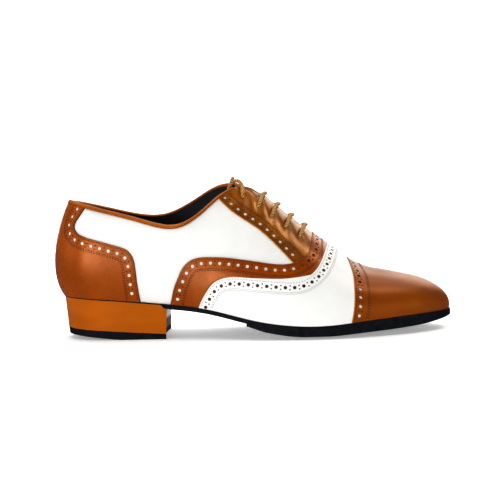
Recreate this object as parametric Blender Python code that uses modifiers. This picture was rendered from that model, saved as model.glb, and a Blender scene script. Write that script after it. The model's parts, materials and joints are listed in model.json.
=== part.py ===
"""Two-tone dance shoe, right foot. Every panel comes from one last surface."""
import bpy
import bmesh
import numpy as np

MM = 0.001
ORIGIN_X = 148.5
ORIGIN_Y = -0.75
GAP = 0.3

WALL = 2.0
COUNTER_TOP = 1.3
FACING_TOP = 1.3
BAND_TOP = 1.2
VAMP_TOP = 1.5
CAP_TOP = 2.1
BINDING_HEIGHT = 3.5
TONGUE_GAP = 0.9

SOLE_MARGIN = 1.6
TOE_MARGIN = 3.6
HEEL_MARGIN = 0.6
TAIL_X = 62.0
STEP_X = 143.0
BREAST_X = 84.8
BREAST_HOLLOW = 2.0
LIFT_HEIGHT = (8.6, 3.8)
LIFT_BEVEL = 4.0
LIFT_FLAT_X = 50.0

LACE_RADIUS = 1.3

SMOOTH_ANGLE = 0.6

# The finish of each material: colour, roughness and metallic value.
FINISHES = {
    "white_leather": ((0.86, 0.86, 0.83), 0.40, 0.0),
    "tan_leather": ((0.48, 0.20, 0.05), 0.30, 0.0),
    "heel_leather": ((0.60, 0.26, 0.05), 0.28, 0.0),
    "lining": ((0.02, 0.025, 0.04), 0.80, 0.0),
    "sole": ((0.02, 0.022, 0.03), 0.65, 0.0),
    "lace": ((0.55, 0.30, 0.10), 0.50, 0.0),
}
PIECE_FINISH = {
    "upper": "white_leather",
    "vamp": "white_leather",
    "insole": "lining",
    "outsole": "sole",
    "forefoot_sole": "sole",
    "heel_block": "heel_leather",
    "heel_lift": "sole",
}

# The feather line is the outline where the upper meets the sole, seen from above.
# x runs from heel to toe, lateral is the outer side, in millimetres.
FEATHER_COLUMNS = ("x", "lateral_y", "medial_y")
FEATHER_ROWS = (
    (7.4, 0.0, 0.0),
    (10.5, -13.0, 13.0),
    (21.0, -22.5, 22.5),
    (42.0, -27.5, 27.0),
    (80.0, -29.0, 26.5),
    (115.0, -33.5, 26.5),
    (148.0, -41.5, 31.5),
    (180.0, -46.0, 39.5),
    (205.0, -45.5, 44.0),
    (230.0, -40.0, 43.0),
    (252.0, -31.5, 37.5),
    (272.0, -21.0, 29.5),
    (285.5, -10.0, 20.0),
    (292.0, -2.6, 12.6),
    (293.6, 5.0, 5.0),
)

# How each cross section leaves the feather line: its height, the extra height of
# the inner arch, the outward bulge, and the two handles of its curve as fractions.
SECTION_COLUMNS = ("x", "feather_z", "arch_lift", "bulge", "rise", "shoulder")
SECTION_ROWS = (
    (7.4, 32.2, 0.0, 18.0, 0.24, 0.80),
    (42.0, 30.0, 0.0, 7.0, 0.32, 0.90),
    (80.0, 26.4, 1.0, 6.0, 0.32, 0.88),
    (115.0, 22.0, 3.0, 4.5, 0.36, 0.64),
    (148.0, 14.2, 2.5, 3.5, 0.40, 0.46),
    (180.0, 9.9, 0.5, 3.0, 0.46, 0.42),
    (205.0, 10.0, 0.0, 3.0, 0.52, 0.46),
    (230.0, 12.3, 0.0, 3.0, 0.58, 0.52),
    (252.0, 13.4, 0.0, 3.0, 0.60, 0.56),
    (272.0, 13.9, 0.0, 3.2, 0.54, 0.58),
    (293.6, 14.0, 0.0, 4.0, 0.37, 0.70),
)

# The ridge of the last. Behind x 138 it runs above the collar and is cut away.
SPINE_COLUMNS = ("x", "y", "z")
SPINE_ROWS = (
    (40.0, 0.0, 128.0),
    (80.0, 0.0, 129.0),
    (110.0, 0.0, 123.5),
    (137.0, 0.5, 111.6),
    (154.0, 1.0, 104.2),
    (171.0, 1.5, 90.6),
    (185.0, 2.0, 79.6),
    (199.0, 2.5, 68.8),
    (207.0, 3.0, 62.6),
    (213.0, 3.2, 57.2),
    (219.0, 3.5, 52.4),
    (230.0, 4.0, 46.6),
    (248.0, 4.5, 42.2),
    (266.0, 5.0, 38.2),
)

# The top line of the collar, lower on the outer side to clear the ankle bone.
COLLAR_COLUMNS = ("x", "lateral_z", "medial_z")
COLLAR_ROWS = (
    (0.0, 104.8, 104.8),
    (10.0, 103.9, 103.1),
    (25.0, 100.6, 99.2),
    (40.0, 96.6, 95.4),
    (55.0, 92.6, 91.7),
    (70.0, 88.1, 89.3),
    (80.0, 85.2, 89.6),
    (90.0, 83.9, 92.5),
    (98.0, 85.5, 96.5),
    (106.0, 89.9, 101.2),
    (114.0, 96.0, 106.3),
    (122.0, 103.0, 110.7),
    (130.0, 108.2, 113.0),
    (138.0, 112.0, 113.8),
)

# The throat slot between the two lace facings, measured from the ridge to each side.
THROAT_COLUMNS = ("x", "lateral_gap", "medial_gap")
THROAT_ROWS = (
    (120.0, 7.0, 1.6),
    (138.0, 6.0, 1.2),
    (155.0, 4.0, 0.8),
    (175.0, 2.0, 0.6),
    (189.0, 0.7, 0.5),
)

# Underside of the forefoot on its centre line, with the rise of its rounded edge.
BOTTOM_COLUMNS = ("x", "z", "edge_rise")
BOTTOM_ROWS = (
    (143.0, 8.4, 1.6),
    (148.0, 6.6, 1.7),
    (155.0, 4.4, 1.6),
    (164.0, 2.4, 1.8),
    (174.0, 0.8, 1.9),
    (184.0, 0.0, 2.0),
    (204.0, 0.0, 2.0),
    (216.0, 0.8, 1.9),
    (230.0, 1.8, 1.8),
    (245.0, 2.6, 1.7),
    (261.0, 3.6, 1.6),
    (275.0, 4.8, 1.6),
    (285.0, 6.2, 1.6),
    (292.0, 7.8, 1.4),
    (297.0, 9.4, 1.0),
)

# Panel edges drawn on the side of the last, x and height.
PANEL_COLUMNS = ("x", "z")
COUNTER_EDGE = (
    (31.0, 106.0),
    (26.4, 97.5),
    (21.3, 90.2),
    (18.2, 84.6),
    (19.6, 80.2),
    (24.2, 77.1),
    (36.3, 73.3),
    (50.1, 69.1),
    (56.8, 66.3),
    (60.6, 61.9),
    (62.4, 55.7),
    (63.4, 45.2),
    (65.4, 29.6),
    (66.4, 18.0),
)
BAND_EDGE = (
    (86.0, 14.0),
    (87.8, 26.4),
    (90.1, 36.3),
    (94.2, 46.6),
    (98.8, 54.4),
    (104.1, 58.2),
    (110.9, 59.8),
    (118.1, 59.9),
    (133.0, 58.9),
    (147.5, 56.8),
    (162.2, 54.4),
    (170.0, 53.8),
    (177.6, 54.6),
    (184.6, 57.5),
    (190.2, 63.0),
    (192.4, 70.2),
    (193.0, 76.0),
    (193.2, 95.0),
)
FACING_EDGE = (
    (116.0, 112.0),
    (124.5, 102.0),
    (135.1, 91.8),
    (148.2, 82.8),
    (159.1, 74.2),
    (168.5, 64.7),
    (177.6, 54.9),
)
VAMP_EDGE = (
    (105.6, 8.0),
    (108.2, 23.0),
    (110.5, 28.6),
    (114.5, 35.3),
    (118.5, 40.4),
    (125.0, 44.2),
    (132.9, 45.5),
    (146.9, 44.5),
    (159.8, 43.2),
    (172.6, 42.0),
    (182.9, 42.5),
    (190.7, 46.3),
    (197.8, 54.3),
    (202.3, 62.6),
    (205.0, 70.0),
    (206.0, 85.0),
)
CAP_EDGE = (
    (216.0, 0.0),
    (218.2, 12.0),
    (219.6, 19.0),
    (220.6, 27.0),
    (221.1, 36.0),
    (221.0, 44.0),
    (219.6, 50.4),
    (217.4, 56.0),
    (215.6, 70.0),
)

# Lace bars below the top eyelets: eyelet station, its place up the section, and how far forward the
# lace has moved where it meets the ridge.
LACE_COLUMNS = ("x", "eyelet_g", "forward")
LACE_ROWS = (
    (153.2, 0.73, 4.2),
    (162.6, 0.71, 4.6),
    (173.0, 0.71, 4.4),
    (183.3, 0.70, 4.0),
)

# The tied end of the lace: out of the outer top eyelet, over the throat, once round inside
# the collar and up to its cut end.
TIE_ROUTE = (
    (142.0, -15.2, 104.2),
    (142.0, -9.8, 109.2),
    (140.8, -5.8, 112.4),
    (138.0, -3.6, 114.0),
    (134.8, -3.3, 113.0),
    (132.4, -3.5, 109.6),
    (130.8, -5.0, 104.4),
    (130.4, -4.6, 100.0),
    (130.2, -0.4, 96.8),
    (130.4, 4.0, 100.0),
    (130.8, 4.0, 104.6),
    (131.9, 1.4, 108.8),
    (133.4, -0.5, 112.4),
    (135.4, 0.2, 117.0),
)
TIE_STEPS = 27

STATION_X = (
    40, 50, 60, 70, 80, 90, 98, 106, 114, 122, 130, 138, 146, 154, 162, 170, 178, 186, 193,
    200, 207, 213, 219, 226, 234, 242, 250, 258, 266,
)
FAN_STEPS = 5
ROWS_UP = 10


def table(columns, rows):
    values = np.array(rows, dtype=float)
    return {name: values[:, i] for i, name in enumerate(columns)}


def natural_spline(knots, values):
    """A smooth curve through the values, flat in curvature at both ends."""
    n = len(knots)
    h = np.diff(knots)
    matrix = np.eye(n)
    right = np.zeros(n)
    for i in range(1, n - 1):
        matrix[i, i - 1:i + 2] = h[i - 1], 2 * (h[i - 1] + h[i]), h[i]
        right[i] = 6 * ((values[i + 1] - values[i]) / h[i] - (values[i] - values[i - 1]) / h[i - 1])
    bend = np.linalg.solve(matrix, right)

    def curve(x):
        x = np.clip(np.asarray(x, dtype=float), knots[0], knots[-1])
        i = np.clip(np.searchsorted(knots, x) - 1, 0, n - 2)
        a = (knots[i + 1] - x) / h[i]
        b = 1 - a
        return (a * values[i] + b * values[i + 1]
                + ((a ** 3 - a) * bend[i] + (b ** 3 - b) * bend[i + 1]) * h[i] ** 2 / 6)
    return curve


def closed_spline(points):
    """A smooth closed curve through the points, measured by distance along them."""
    n = len(points)
    h = np.linalg.norm(np.roll(points, -1, axis=0) - points, axis=1)
    knots = np.concatenate([[0.0], np.cumsum(h)])
    matrix = np.zeros((n, n))
    right = np.zeros(points.shape)
    for i in range(n):
        after = (i + 1) % n
        matrix[i, i - 1] = h[i - 1]
        matrix[i, i] = 2 * (h[i - 1] + h[i])
        matrix[i, after] = h[i]
        right[i] = 6 * ((points[after] - points[i]) / h[i] - (points[i] - points[i - 1]) / h[i - 1])
    bend = np.linalg.solve(matrix, right)

    def curve(w):
        w = np.mod(np.asarray(w, dtype=float), knots[-1])
        i = np.clip(np.searchsorted(knots, w, side="right") - 1, 0, n - 1)
        j = (i + 1) % n
        b = ((w - knots[i]) / h[i])[..., None]
        a = 1 - b
        weight = (h[i] ** 2)[..., None] / 6
        return a * points[i] + b * points[j] + ((a ** 3 - a) * bend[i] + (b ** 3 - b) * bend[j]) * weight
    return curve, knots


def splines(columns, rows):
    values = table(columns, rows)
    return {name: natural_spline(values["x"], values[name]) for name in columns if name != "x"}


SECTION = splines(SECTION_COLUMNS, SECTION_ROWS)
SPINE = splines(SPINE_COLUMNS, SPINE_ROWS)
COLLAR = splines(COLLAR_COLUMNS, COLLAR_ROWS)
THROAT = splines(THROAT_COLUMNS, THROAT_ROWS)
BOTTOM = splines(BOTTOM_COLUMNS, BOTTOM_ROWS)
POLE_HEEL = SPINE_ROWS[0][0]
POLE_TOE = SPINE_ROWS[-1][0]
THROAT_START = THROAT_ROWS[0][0]
THROAT_END = THROAT_ROWS[-1][0]
COLLAR_END = COLLAR_ROWS[-1][0]
THROAT_MIDDLE_Y = -2.0

FEATHER = table(FEATHER_COLUMNS, FEATHER_ROWS)
lateral_loop = np.stack([FEATHER["x"], FEATHER["lateral_y"]], axis=1)
medial_loop = np.stack([FEATHER["x"], FEATHER["medial_y"]], axis=1)
OUTLINE, KNOTS = closed_spline(np.concatenate([lateral_loop, medial_loop[-2:0:-1]]))
AROUND = KNOTS[-1]
TOE_W = KNOTS[len(FEATHER_ROWS) - 1]


def feather_height(x, y):
    medial = np.clip((y - SPINE["y"](x)) / 20, 0, 1)
    return SECTION["feather_z"](x) + SECTION["arch_lift"](x) * medial * medial * (3 - 2 * medial)


def spine_slope(x):
    """The ridge's slope, which the fans at both ends take over so that no crease shows."""
    return (SPINE["z"](x + 0.5) - SPINE["z"](x - 0.5)) / (np.clip(x + 0.5, POLE_HEEL, POLE_TOE)
                                                          - np.clip(x - 0.5, POLE_HEEL, POLE_TOE))


def last_surface(w, g):
    """A point of the last: w runs round the feather line, g from it up to the ridge."""
    w, g = np.broadcast_arrays(np.asarray(w, dtype=float), np.asarray(g, dtype=float))
    foot = OUTLINE(w)
    x = foot[..., 0]
    y = foot[..., 1]
    top_x = np.clip(x, POLE_HEEL, POLE_TOE)
    top = np.stack([top_x, SPINE["y"](top_x), SPINE["z"](top_x)], axis=-1)
    base = np.stack([x, y, feather_height(x, y)], axis=-1)
    out = base - top
    out[..., 2] = 0
    half = np.linalg.norm(out, axis=-1, keepdims=True)
    out = out / half
    up = np.zeros(base.shape)
    up[..., 2] = (top[..., 2] - base[..., 2]) * SECTION["rise"](x)
    low = base + out * SECTION["bulge"](x)[..., None] + up
    high = top + out * half * SECTION["shoulder"](x)[..., None]
    high[..., 2] += (high[..., 0] - top[..., 0]) * spine_slope(top_x)
    g = g[..., None]
    c = 1 - g
    return c ** 3 * base + 3 * c * c * g * low + 3 * c * g * g * high + g ** 3 * top


def last_normal(w, g):
    g = np.asarray(g, dtype=float)
    along = last_surface(w + 0.5, g) - last_surface(w - 0.5, g)
    up = last_surface(w, np.clip(g + 0.002, 0, 1)) - last_surface(w, np.clip(g - 0.002, 0, 1))
    normal = np.cross(along, up)
    length = np.linalg.norm(normal, axis=-1, keepdims=True)
    normal = normal / np.where(length < 1e-9, 1, length)
    normal[length[..., 0] < 1e-9] = (0, 0, 1)
    return normal


def offset_surface(w, g, offset):
    return last_surface(w, g) + offset * last_normal(w, g)


def side_w(x, side):
    """Where the feather line passes x on one side, lateral -1 or medial +1."""
    low, high = (0.0, TOE_W) if side < 0 else (TOE_W, AROUND)
    w = np.linspace(low, high, 4001)
    along = OUTLINE(w)[:, 0]
    if side > 0:
        w = w[::-1]
        along = along[::-1]
    return np.interp(x, along, w)


def paired_stations(xs, heel_fan=True, toe_fan=True):
    """Matching places on both sides, fanned round the heel and the toe."""
    lateral = [float(side_w(x, -1)) for x in xs]
    medial = [float(side_w(x, 1)) for x in xs]
    steps = np.arange(FAN_STEPS) / FAN_STEPS
    if heel_fan:
        lateral = [f * lateral[0] for f in steps] + lateral
        medial = [AROUND - f * (AROUND - medial[0]) for f in steps] + medial
    if toe_fan:
        steps = steps + 1 / FAN_STEPS
        lateral = lateral + [lateral[-1] + f * (TOE_W - lateral[-1]) for f in steps]
        medial = medial + [medial[-1] + f * (TOE_W - medial[-1]) for f in steps]
    return np.array(lateral), np.array(medial)


def collar_height(x, side):
    return COLLAR["lateral_z"](x) if side < 0 else COLLAR["medial_z"](x)


def top_edge(w, side, drop):
    """How far up a section the upper runs: to the collar, the throat or the ridge."""
    g = np.linspace(0, 1, 2001)
    line = last_surface(w, g)
    foot_x = float(OUTLINE(w)[0])
    limit = 1.0
    if foot_x < COLLAR_END + 1:
        over = np.nonzero(line[:, 2] > collar_height(line[:, 0], side) - drop)[0]
        limit = g[over[0]] if len(over) else 1.0
    if THROAT_START < foot_x < THROAT_END + 1:
        gap = THROAT["lateral_gap"] if side < 0 else THROAT["medial_gap"]
        inside = np.nonzero(np.abs(line[:, 1] - SPINE["y"](line[:, 0])) < gap(line[:, 0]))[0]
        limit = min(limit, g[inside[0]])
    return limit


def bottom_edge(w, outer):
    """Where a layer starts so that its outer face does not dip below the feather line."""
    g = np.linspace(0, 0.08, 81)
    line = offset_surface(w, g, max(outer, 0.0))
    clear = np.nonzero(line[:, 2] >= last_surface(w, 0.0)[2])[0]
    return g[clear[0]]


def upper_columns(drop):
    lateral, medial = paired_stations(STATION_X)
    columns = [(w, -1) for w in lateral] + [(w, 1) for w in medial[-2:0:-1]]
    return [(w, top_edge(w, side, drop)) for w, side in columns]


def remove_everything():
    for item in list(bpy.data.objects):
        bpy.data.objects.remove(item, do_unlink=True)


def add_collection(name):
    group = bpy.data.collections.new(name)
    bpy.context.scene.collection.children.link(group)
    return group


def finish_for(name):
    """The material of a piece: laces and soles by name, every other panel in tan leather."""
    finish = "lace" if name.startswith("lace") else PIECE_FINISH.get(name, "tan_leather")
    material = bpy.data.materials.get(finish)
    if material is None:
        colour, roughness, metallic = FINISHES[finish]
        material = bpy.data.materials.new(finish)
        material.use_nodes = True
        shader = material.node_tree.nodes["Principled BSDF"]
        shader.inputs["Base Color"].default_value = (*colour, 1.0)
        shader.inputs["Roughness"].default_value = roughness
        shader.inputs["Metallic"].default_value = metallic
        material.diffuse_color = (*colour, 1.0)
    return material


def add_piece(name, mesh):
    mesh.shade_smooth()
    mesh.set_sharp_from_angle(angle=SMOOTH_ANGLE)
    mesh.materials.append(finish_for(name))
    item = bpy.data.objects.new(name, mesh)
    PARTS.objects.link(item)
    return item


def place(points):
    moved = np.array(points, dtype=float).reshape(-1, 3) - np.array([ORIGIN_X, ORIGIN_Y, 0.0])
    return (moved * MM).tolist()


def mesh_object(name, points, faces):
    mesh = bpy.data.meshes.new(name)
    mesh.from_pydata(place(points), [], faces)
    work = bmesh.new()
    work.from_mesh(mesh)
    bmesh.ops.remove_doubles(work, verts=work.verts, dist=0.00001)
    bmesh.ops.dissolve_degenerate(work, edges=work.edges, dist=0.000001)
    bmesh.ops.recalc_face_normals(work, faces=work.faces)
    work.to_mesh(mesh)
    work.free()
    return add_piece(name, mesh)


def solidify(item, thickness, side):
    modifier = item.modifiers.new("Thickness", "SOLIDIFY")
    modifier.thickness = thickness * MM
    modifier.offset = side
    modifier.use_even_offset = True
    modifier.use_quality_normals = True


def upper_sheet(name, inner, outer):
    """A closed layer of the upper between two offsets of the last."""
    columns = upper_columns(BINDING_HEIGHT)
    points = []
    for w, top in columns:
        g = np.linspace(0, top, ROWS_UP + 1)
        g[0] = bottom_edge(w, outer)
        points.append(offset_surface(w, g, inner))
    faces = []
    for i in range(len(columns)):
        j = (i + 1) % len(columns)
        for k in range(ROWS_UP):
            a = i * (ROWS_UP + 1) + k
            b = j * (ROWS_UP + 1) + k
            faces.append((a, b, b + 1, a + 1))
    item = mesh_object(name, np.concatenate(points), faces)
    outward(item)
    solidify(item, outer - inner, 1.0)
    return item


def outward(item):
    """Turn an open sheet so that its faces look away from the foot."""
    work = bmesh.new()
    work.from_mesh(item.data)
    work.faces.ensure_lookup_table()
    side = sum(face.normal.y * face.calc_area() * (1 if face.calc_center_median().y > 0 else -1)
               for face in work.faces)
    if side < 0:
        bmesh.ops.reverse_faces(work, faces=work.faces)
    work.to_mesh(item.data)
    work.free()


def helper(item):
    PARTS.objects.unlink(item)
    PATTERNS.objects.link(item)
    item.data.materials.clear()
    item.hide_render = True
    item.display_type = "WIRE"
    return item


def side_prism(name, outline, low, high):
    """A block with a side-view outline, running across the shoe from one slanted plane to another."""
    n = len(outline)
    points = [(x, low[0] + low[1] * x, z) for x, z in outline]
    points += [(x, high[0] + high[1] * x, z) for x, z in outline]
    faces = [tuple(range(n)), tuple(range(2 * n - 1, n - 1, -1))]
    faces += [(i, (i + 1) % n, n + (i + 1) % n, n + i) for i in range(n)]
    return helper(mesh_object(name, points, faces))


def shifted(edge, distance):
    """A panel edge moved sideways, to the right of its own direction."""
    line = np.array(edge, dtype=float)
    step = np.gradient(line, axis=0)
    step = step / np.linalg.norm(step, axis=1, keepdims=True)
    return [tuple(p) for p in line + distance * np.stack([step[:, 1], -step[:, 0]], axis=1)]


def panel(name, outline, outer, low=(-80.0, 0.0), high=(80.0, 0.0)):
    """A maker's panel: the layer between two larger forms of the upper, cut to its outline."""
    item = upper_sheet(name, GAP, outer)
    cut = item.modifiers.new("Pattern", "BOOLEAN")
    cut.operation = "INTERSECT"
    cut.solver = "EXACT"
    cut.object = side_prism(name + "_pattern", outline, low, high)
    return item


def closed_grid(name, top, bottom):
    """A solid between two grids of the same shape."""
    rows, cols = top.shape[:2]
    points = np.concatenate([top.reshape(-1, 3), bottom.reshape(-1, 3)])
    under = rows * cols
    faces = []
    for i in range(rows - 1):
        for j in range(cols - 1):
            a = i * cols + j
            quad = (a, a + 1, a + cols + 1, a + cols)
            faces.append(quad)
            faces.append(tuple(under + v for v in reversed(quad)))
    rim = [i * cols for i in range(rows)]
    rim += [(rows - 1) * cols + j for j in range(1, cols)]
    rim += [i * cols + cols - 1 for i in range(rows - 2, -1, -1)]
    rim += [j for j in range(cols - 2, 0, -1)]
    for a, b in zip(rim, rim[1:] + rim[:1]):
        faces.append((a, b, under + b, under + a))
    return mesh_object(name, points, faces)


def outline_point(w, margin):
    """The feather line grown outward by a margin."""
    point = OUTLINE(w)
    step = OUTLINE(w + 0.5) - OUTLINE(w - 0.5)
    step = step / np.linalg.norm(step, axis=-1, keepdims=True)
    outward_step = np.stack([step[..., 1], -step[..., 0]], axis=-1)
    return point + np.broadcast_to(margin, np.shape(w))[..., None] * outward_step


def plan_grid(lateral, medial, margin, across):
    """Points across the shoe from its lateral to its medial outline, without heights."""
    left = outline_point(lateral, margin)
    right = outline_point(medial, margin)
    share = (np.array(across) + 1) / 2
    return left[:, None] * (1 - share[None, :, None]) + right[:, None] * share[None, :, None]


def with_height(plan, height):
    return np.concatenate([plan, height[..., None]], axis=-1)


def seat_height(plan):
    """The feather height under any point: straight across from edge to edge."""
    left = feather_height(plan[:, 0, 0], plan[:, 0, 1])
    right = feather_height(plan[:, -1, 0], plan[:, -1, 1])
    width = plan[:, -1, 1] - plan[:, 0, 1]
    share = (plan[..., 1] - plan[:, :1, 1]) / np.where(width < 1e-6, 1, width)[:, None]
    return left[:, None] * (1 - share) + right[:, None] * share


def tube(name, points, radius):
    """A cord: a curve with a round bevel and closed ends, turned into a mesh."""
    curve = bpy.data.curves.new(name + "_path", "CURVE")
    curve.dimensions = "3D"
    curve.bevel_depth = radius * MM
    curve.bevel_resolution = 2
    curve.use_fill_caps = True
    line = curve.splines.new("POLY")
    line.points.add(len(points) - 1)
    for spot, (x, y, z) in zip(line.points, place(points)):
        spot.co = (x, y, z, 1)
    holder = bpy.data.objects.new(name + "_path", curve)
    PARTS.objects.link(holder)
    bpy.context.view_layer.update()
    view = bpy.context.evaluated_depsgraph_get()
    mesh = bpy.data.meshes.new_from_object(holder.evaluated_get(view))
    bpy.data.objects.remove(holder, do_unlink=True)
    work = bmesh.new()
    work.from_mesh(mesh)
    bmesh.ops.remove_doubles(work, verts=work.verts, dist=0.00001)
    bmesh.ops.recalc_face_normals(work, faces=work.faces)
    work.to_mesh(mesh)
    work.free()
    return add_piece(name, mesh)


def smooth_path(points, steps):
    """A rounded path through a few points."""
    line = np.array(points, dtype=float)
    knots = np.concatenate([[0.0], np.cumsum(np.linalg.norm(np.diff(line, axis=0), axis=1))])
    curves = [natural_spline(knots, line[:, i]) for i in range(3)]
    at = np.linspace(0, knots[-1], steps)
    return np.stack([curve(at) for curve in curves], axis=1)


def build_upper():
    upper_sheet("upper", -WALL, 0.0)
    panel("heel_counter", [(-20.0, 106.0)] + list(COUNTER_EDGE) + [(-20.0, 18.0)], COUNTER_TOP)
    band_front = shifted(VAMP_EDGE, -GAP)
    panel("side_band", list(BAND_EDGE) + band_front[::-1], BAND_TOP)
    panel("vamp", list(VAMP_EDGE) + shifted(CAP_EDGE, -GAP)[::-1], VAMP_TOP)
    panel("toe_cap", list(CAP_EDGE) + [(310.0, 70.0), (310.0, 0.0)], CAP_TOP)
    throat = shifted(BAND_EDGE[12:], -GAP)
    facing = list(FACING_EDGE) + throat[1:] + [(160.0, 125.0), (116.0, 125.0)]
    slant = (SPINE["y"](193.0) - THROAT_MIDDLE_Y) / (193.0 - COLLAR_END)
    start = THROAT_MIDDLE_Y - slant * COLLAR_END
    panel("facing_lateral", facing, FACING_TOP, high=(start - GAP / 2, slant))
    panel("facing_medial", facing, FACING_TOP, low=(start + GAP / 2, slant))


def build_binding():
    """A rounded strip on the collar edge, from one side of the throat round the heel."""
    profile = (
        (1.1, 0.3), (1.4, 1.6), (0.9, 2.9), (-0.8, 3.5), (-2.3, 2.9), (-2.7, 1.6), (-2.3, 0.3),
    )
    xs = [x for x in STATION_X if x < COLLAR_END] + [135]
    lateral, medial = paired_stations(xs, toe_fan=False)
    columns = [(w, -1) for w in lateral[::-1]] + [(w, 1) for w in medial[1:]]
    rings = []
    for w, side in columns:
        g = top_edge(w, side, BINDING_HEIGHT)
        here = last_surface(w, g)
        normal = last_normal(w, np.array(g))
        up = last_surface(w, min(g + 0.01, 1.0)) - last_surface(w, g - 0.01)
        up = up / np.linalg.norm(up)
        rings.append([here + normal * n + up * v for n, v in profile])
    size = len(profile)
    faces = [tuple(range(size)), tuple(range(len(rings) * size - 1, (len(rings) - 1) * size - 1, -1))]
    for i in range(len(rings) - 1):
        for k in range(size):
            a = i * size + k
            b = i * size + (k + 1) % size
            faces.append((a, b, b + size, a + size))
    mesh_object("collar_binding", np.concatenate(rings), faces)


def build_tongue():
    """A strip under the facings, across the ridge."""
    xs = np.linspace(135.0, 200.0, 11)
    points = []
    across = (-1.0, -0.7, -0.4, -0.15, 0.15, 0.4, 0.7, 1.0)
    for x in xs:
        reach = 0.46 if x < 190 else 0.36
        for a in across:
            side = -1 if a < 0 else 1
            points.append(offset_surface(side_w(x, side), 1 - reach * abs(a), -WALL - TONGUE_GAP))
    n = len(across)
    faces = []
    for i in range(len(xs) - 1):
        for j in range(n - 1):
            a = i * n + j
            faces.append((a, a + 1, a + n + 1, a + n))
    item = mesh_object("tongue", np.stack(points), faces)
    work = bmesh.new()
    work.from_mesh(item.data)
    work.faces.ensure_lookup_table()
    if sum(face.normal.z for face in work.faces) < 0:
        bmesh.ops.reverse_faces(work, faces=work.faces)
    work.to_mesh(item.data)
    work.free()
    solidify(item, 1.6, -1.0)


def sole_margin(lateral):
    """How far the sole stands out of the feather line, a little more round the toe."""
    return np.interp(OUTLINE(lateral)[:, 0], (250.0, 293.0), (SOLE_MARGIN, TOE_MARGIN))


def sole_thickness(x):
    return np.interp(x, (TAIL_X, 88.0, 150.0, 250.0, 296.0), (0.8, 3.2, 3.2, 3.0, 2.4))


def build_sole():
    xs = [TAIL_X, 74] + [x for x in STATION_X if x >= 86]
    lateral, medial = paired_stations(xs, heel_fan=False)
    plan = plan_grid(lateral, medial, sole_margin(lateral), (-1, 1))
    seat = seat_height(plan) - GAP
    closed_grid("outsole", with_height(plan, seat), with_height(plan, seat - sole_thickness(plan[..., 0])))

    xs = [STEP_X, 148, 155, 164, 174, 184, 194, 204, 216, 230, 245, 256, 266]
    lateral, medial = paired_stations(xs, heel_fan=False)
    plan = plan_grid(lateral, medial, sole_margin(lateral), (-1.0, -0.8, -0.55, 0.55, 0.8, 1.0))
    x = plan[..., 0]
    top = seat_height(plan) - GAP - sole_thickness(x) - GAP
    rise = BOTTOM["edge_rise"](x) * np.array([1.0, 0.35, 0.0, 0.0, 0.35, 1.0])
    flat = BOTTOM["z"](x)
    flat[(x > 183.0) & (x < 205.0)] = 0.0
    bottom = np.minimum(flat + rise, top - 0.6)
    closed_grid("forefoot_sole", with_height(plan, top), with_height(plan, bottom))


def build_heel():
    xs = [40, 50, 58, TAIL_X - 0.6, TAIL_X - 0.4, 74, BREAST_X]
    lateral, medial = paired_stations(xs, toe_fan=False)
    across = np.array((-1.0, -0.5, 0.0, 0.5, 1.0))
    plan = plan_grid(lateral, medial, HEEL_MARGIN, across)
    seat = seat_height(plan) - GAP
    under_tail = plan[..., 0] > TAIL_X - 0.5
    top_z = np.where(under_tail, seat - sole_thickness(plan[..., 0]) - GAP, seat)
    top = with_height(plan, top_z)
    foot = plan_grid(lateral, medial, HEEL_MARGIN - 1.2, across)
    foot[..., 0] += np.interp(foot[..., 0], (8.0, 40.0, BREAST_X), (0.8, 0.0, -1.1))
    lift_z = np.interp(foot[..., 0], (9.0, BREAST_X), LIFT_HEIGHT)
    top[-1, :, 0] -= BREAST_HOLLOW * (1 - across ** 2)
    foot[-1, :, 0] -= BREAST_HOLLOW * (1 - across ** 2)
    closed_grid("heel_block", top, with_height(foot, lift_z + GAP))
    sole = plan_grid(lateral, medial, HEEL_MARGIN - 1.6, across)
    sole[..., 0] += np.interp(sole[..., 0], (8.0, 40.0, BREAST_X), (1.0, 0.0, -1.1))
    sole[-1, :, 0] -= BREAST_HOLLOW * (1 - across ** 2)
    floor = np.interp(sole[..., 0], (9.0, LIFT_FLAT_X), (LIFT_BEVEL, 0.0))
    closed_grid("heel_lift", with_height(foot, lift_z), with_height(sole, floor))


def build_insole():
    lateral, medial = paired_stations(STATION_X)
    plan = plan_grid(lateral, medial, -WALL - GAP - 0.2, (-1, 1))
    seat = seat_height(plan)
    closed_grid("insole", with_height(plan, seat + 2.5), with_height(plan, seat + GAP))


def build_lace():
    lift = FACING_TOP + GAP + LACE_RADIUS
    for number, (x, eyelet_g, forward) in enumerate(LACE_ROWS, start=1):
        path = []
        for t in np.linspace(-1, 1, 11):
            side = -1 if t < 0 else 1
            g = 1 - (1 - eyelet_g) * abs(t)
            at_x = x + forward * (1 - abs(t))
            path.append(offset_surface(side_w(at_x, side), g, lift))
        tube("lace_bar_%d" % number, path, LACE_RADIUS)
    tube("lace_tie", smooth_path(TIE_ROUTE, TIE_STEPS), LACE_RADIUS)


remove_everything()
PARTS = add_collection("dance_shoe")
PATTERNS = add_collection("dance_shoe_patterns")
build_upper()
build_binding()
build_tongue()
build_sole()
build_heel()
build_insole()
build_lace()
bpy.context.view_layer.update()
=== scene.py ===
# %% [markdown]
# # Dressing a two-tone dance shoe
#
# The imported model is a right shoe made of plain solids: a hollow upper, the leather panels laid on it,
# a thin sole, a low covered heel and a lace. This lesson keeps those solids as a fixed frame and gives
# each one its finished leather, thread, cord or rubber in the same place.
# The frame is loaded first, and its box is kept, because the dressed shoe may not outgrow it.

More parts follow.
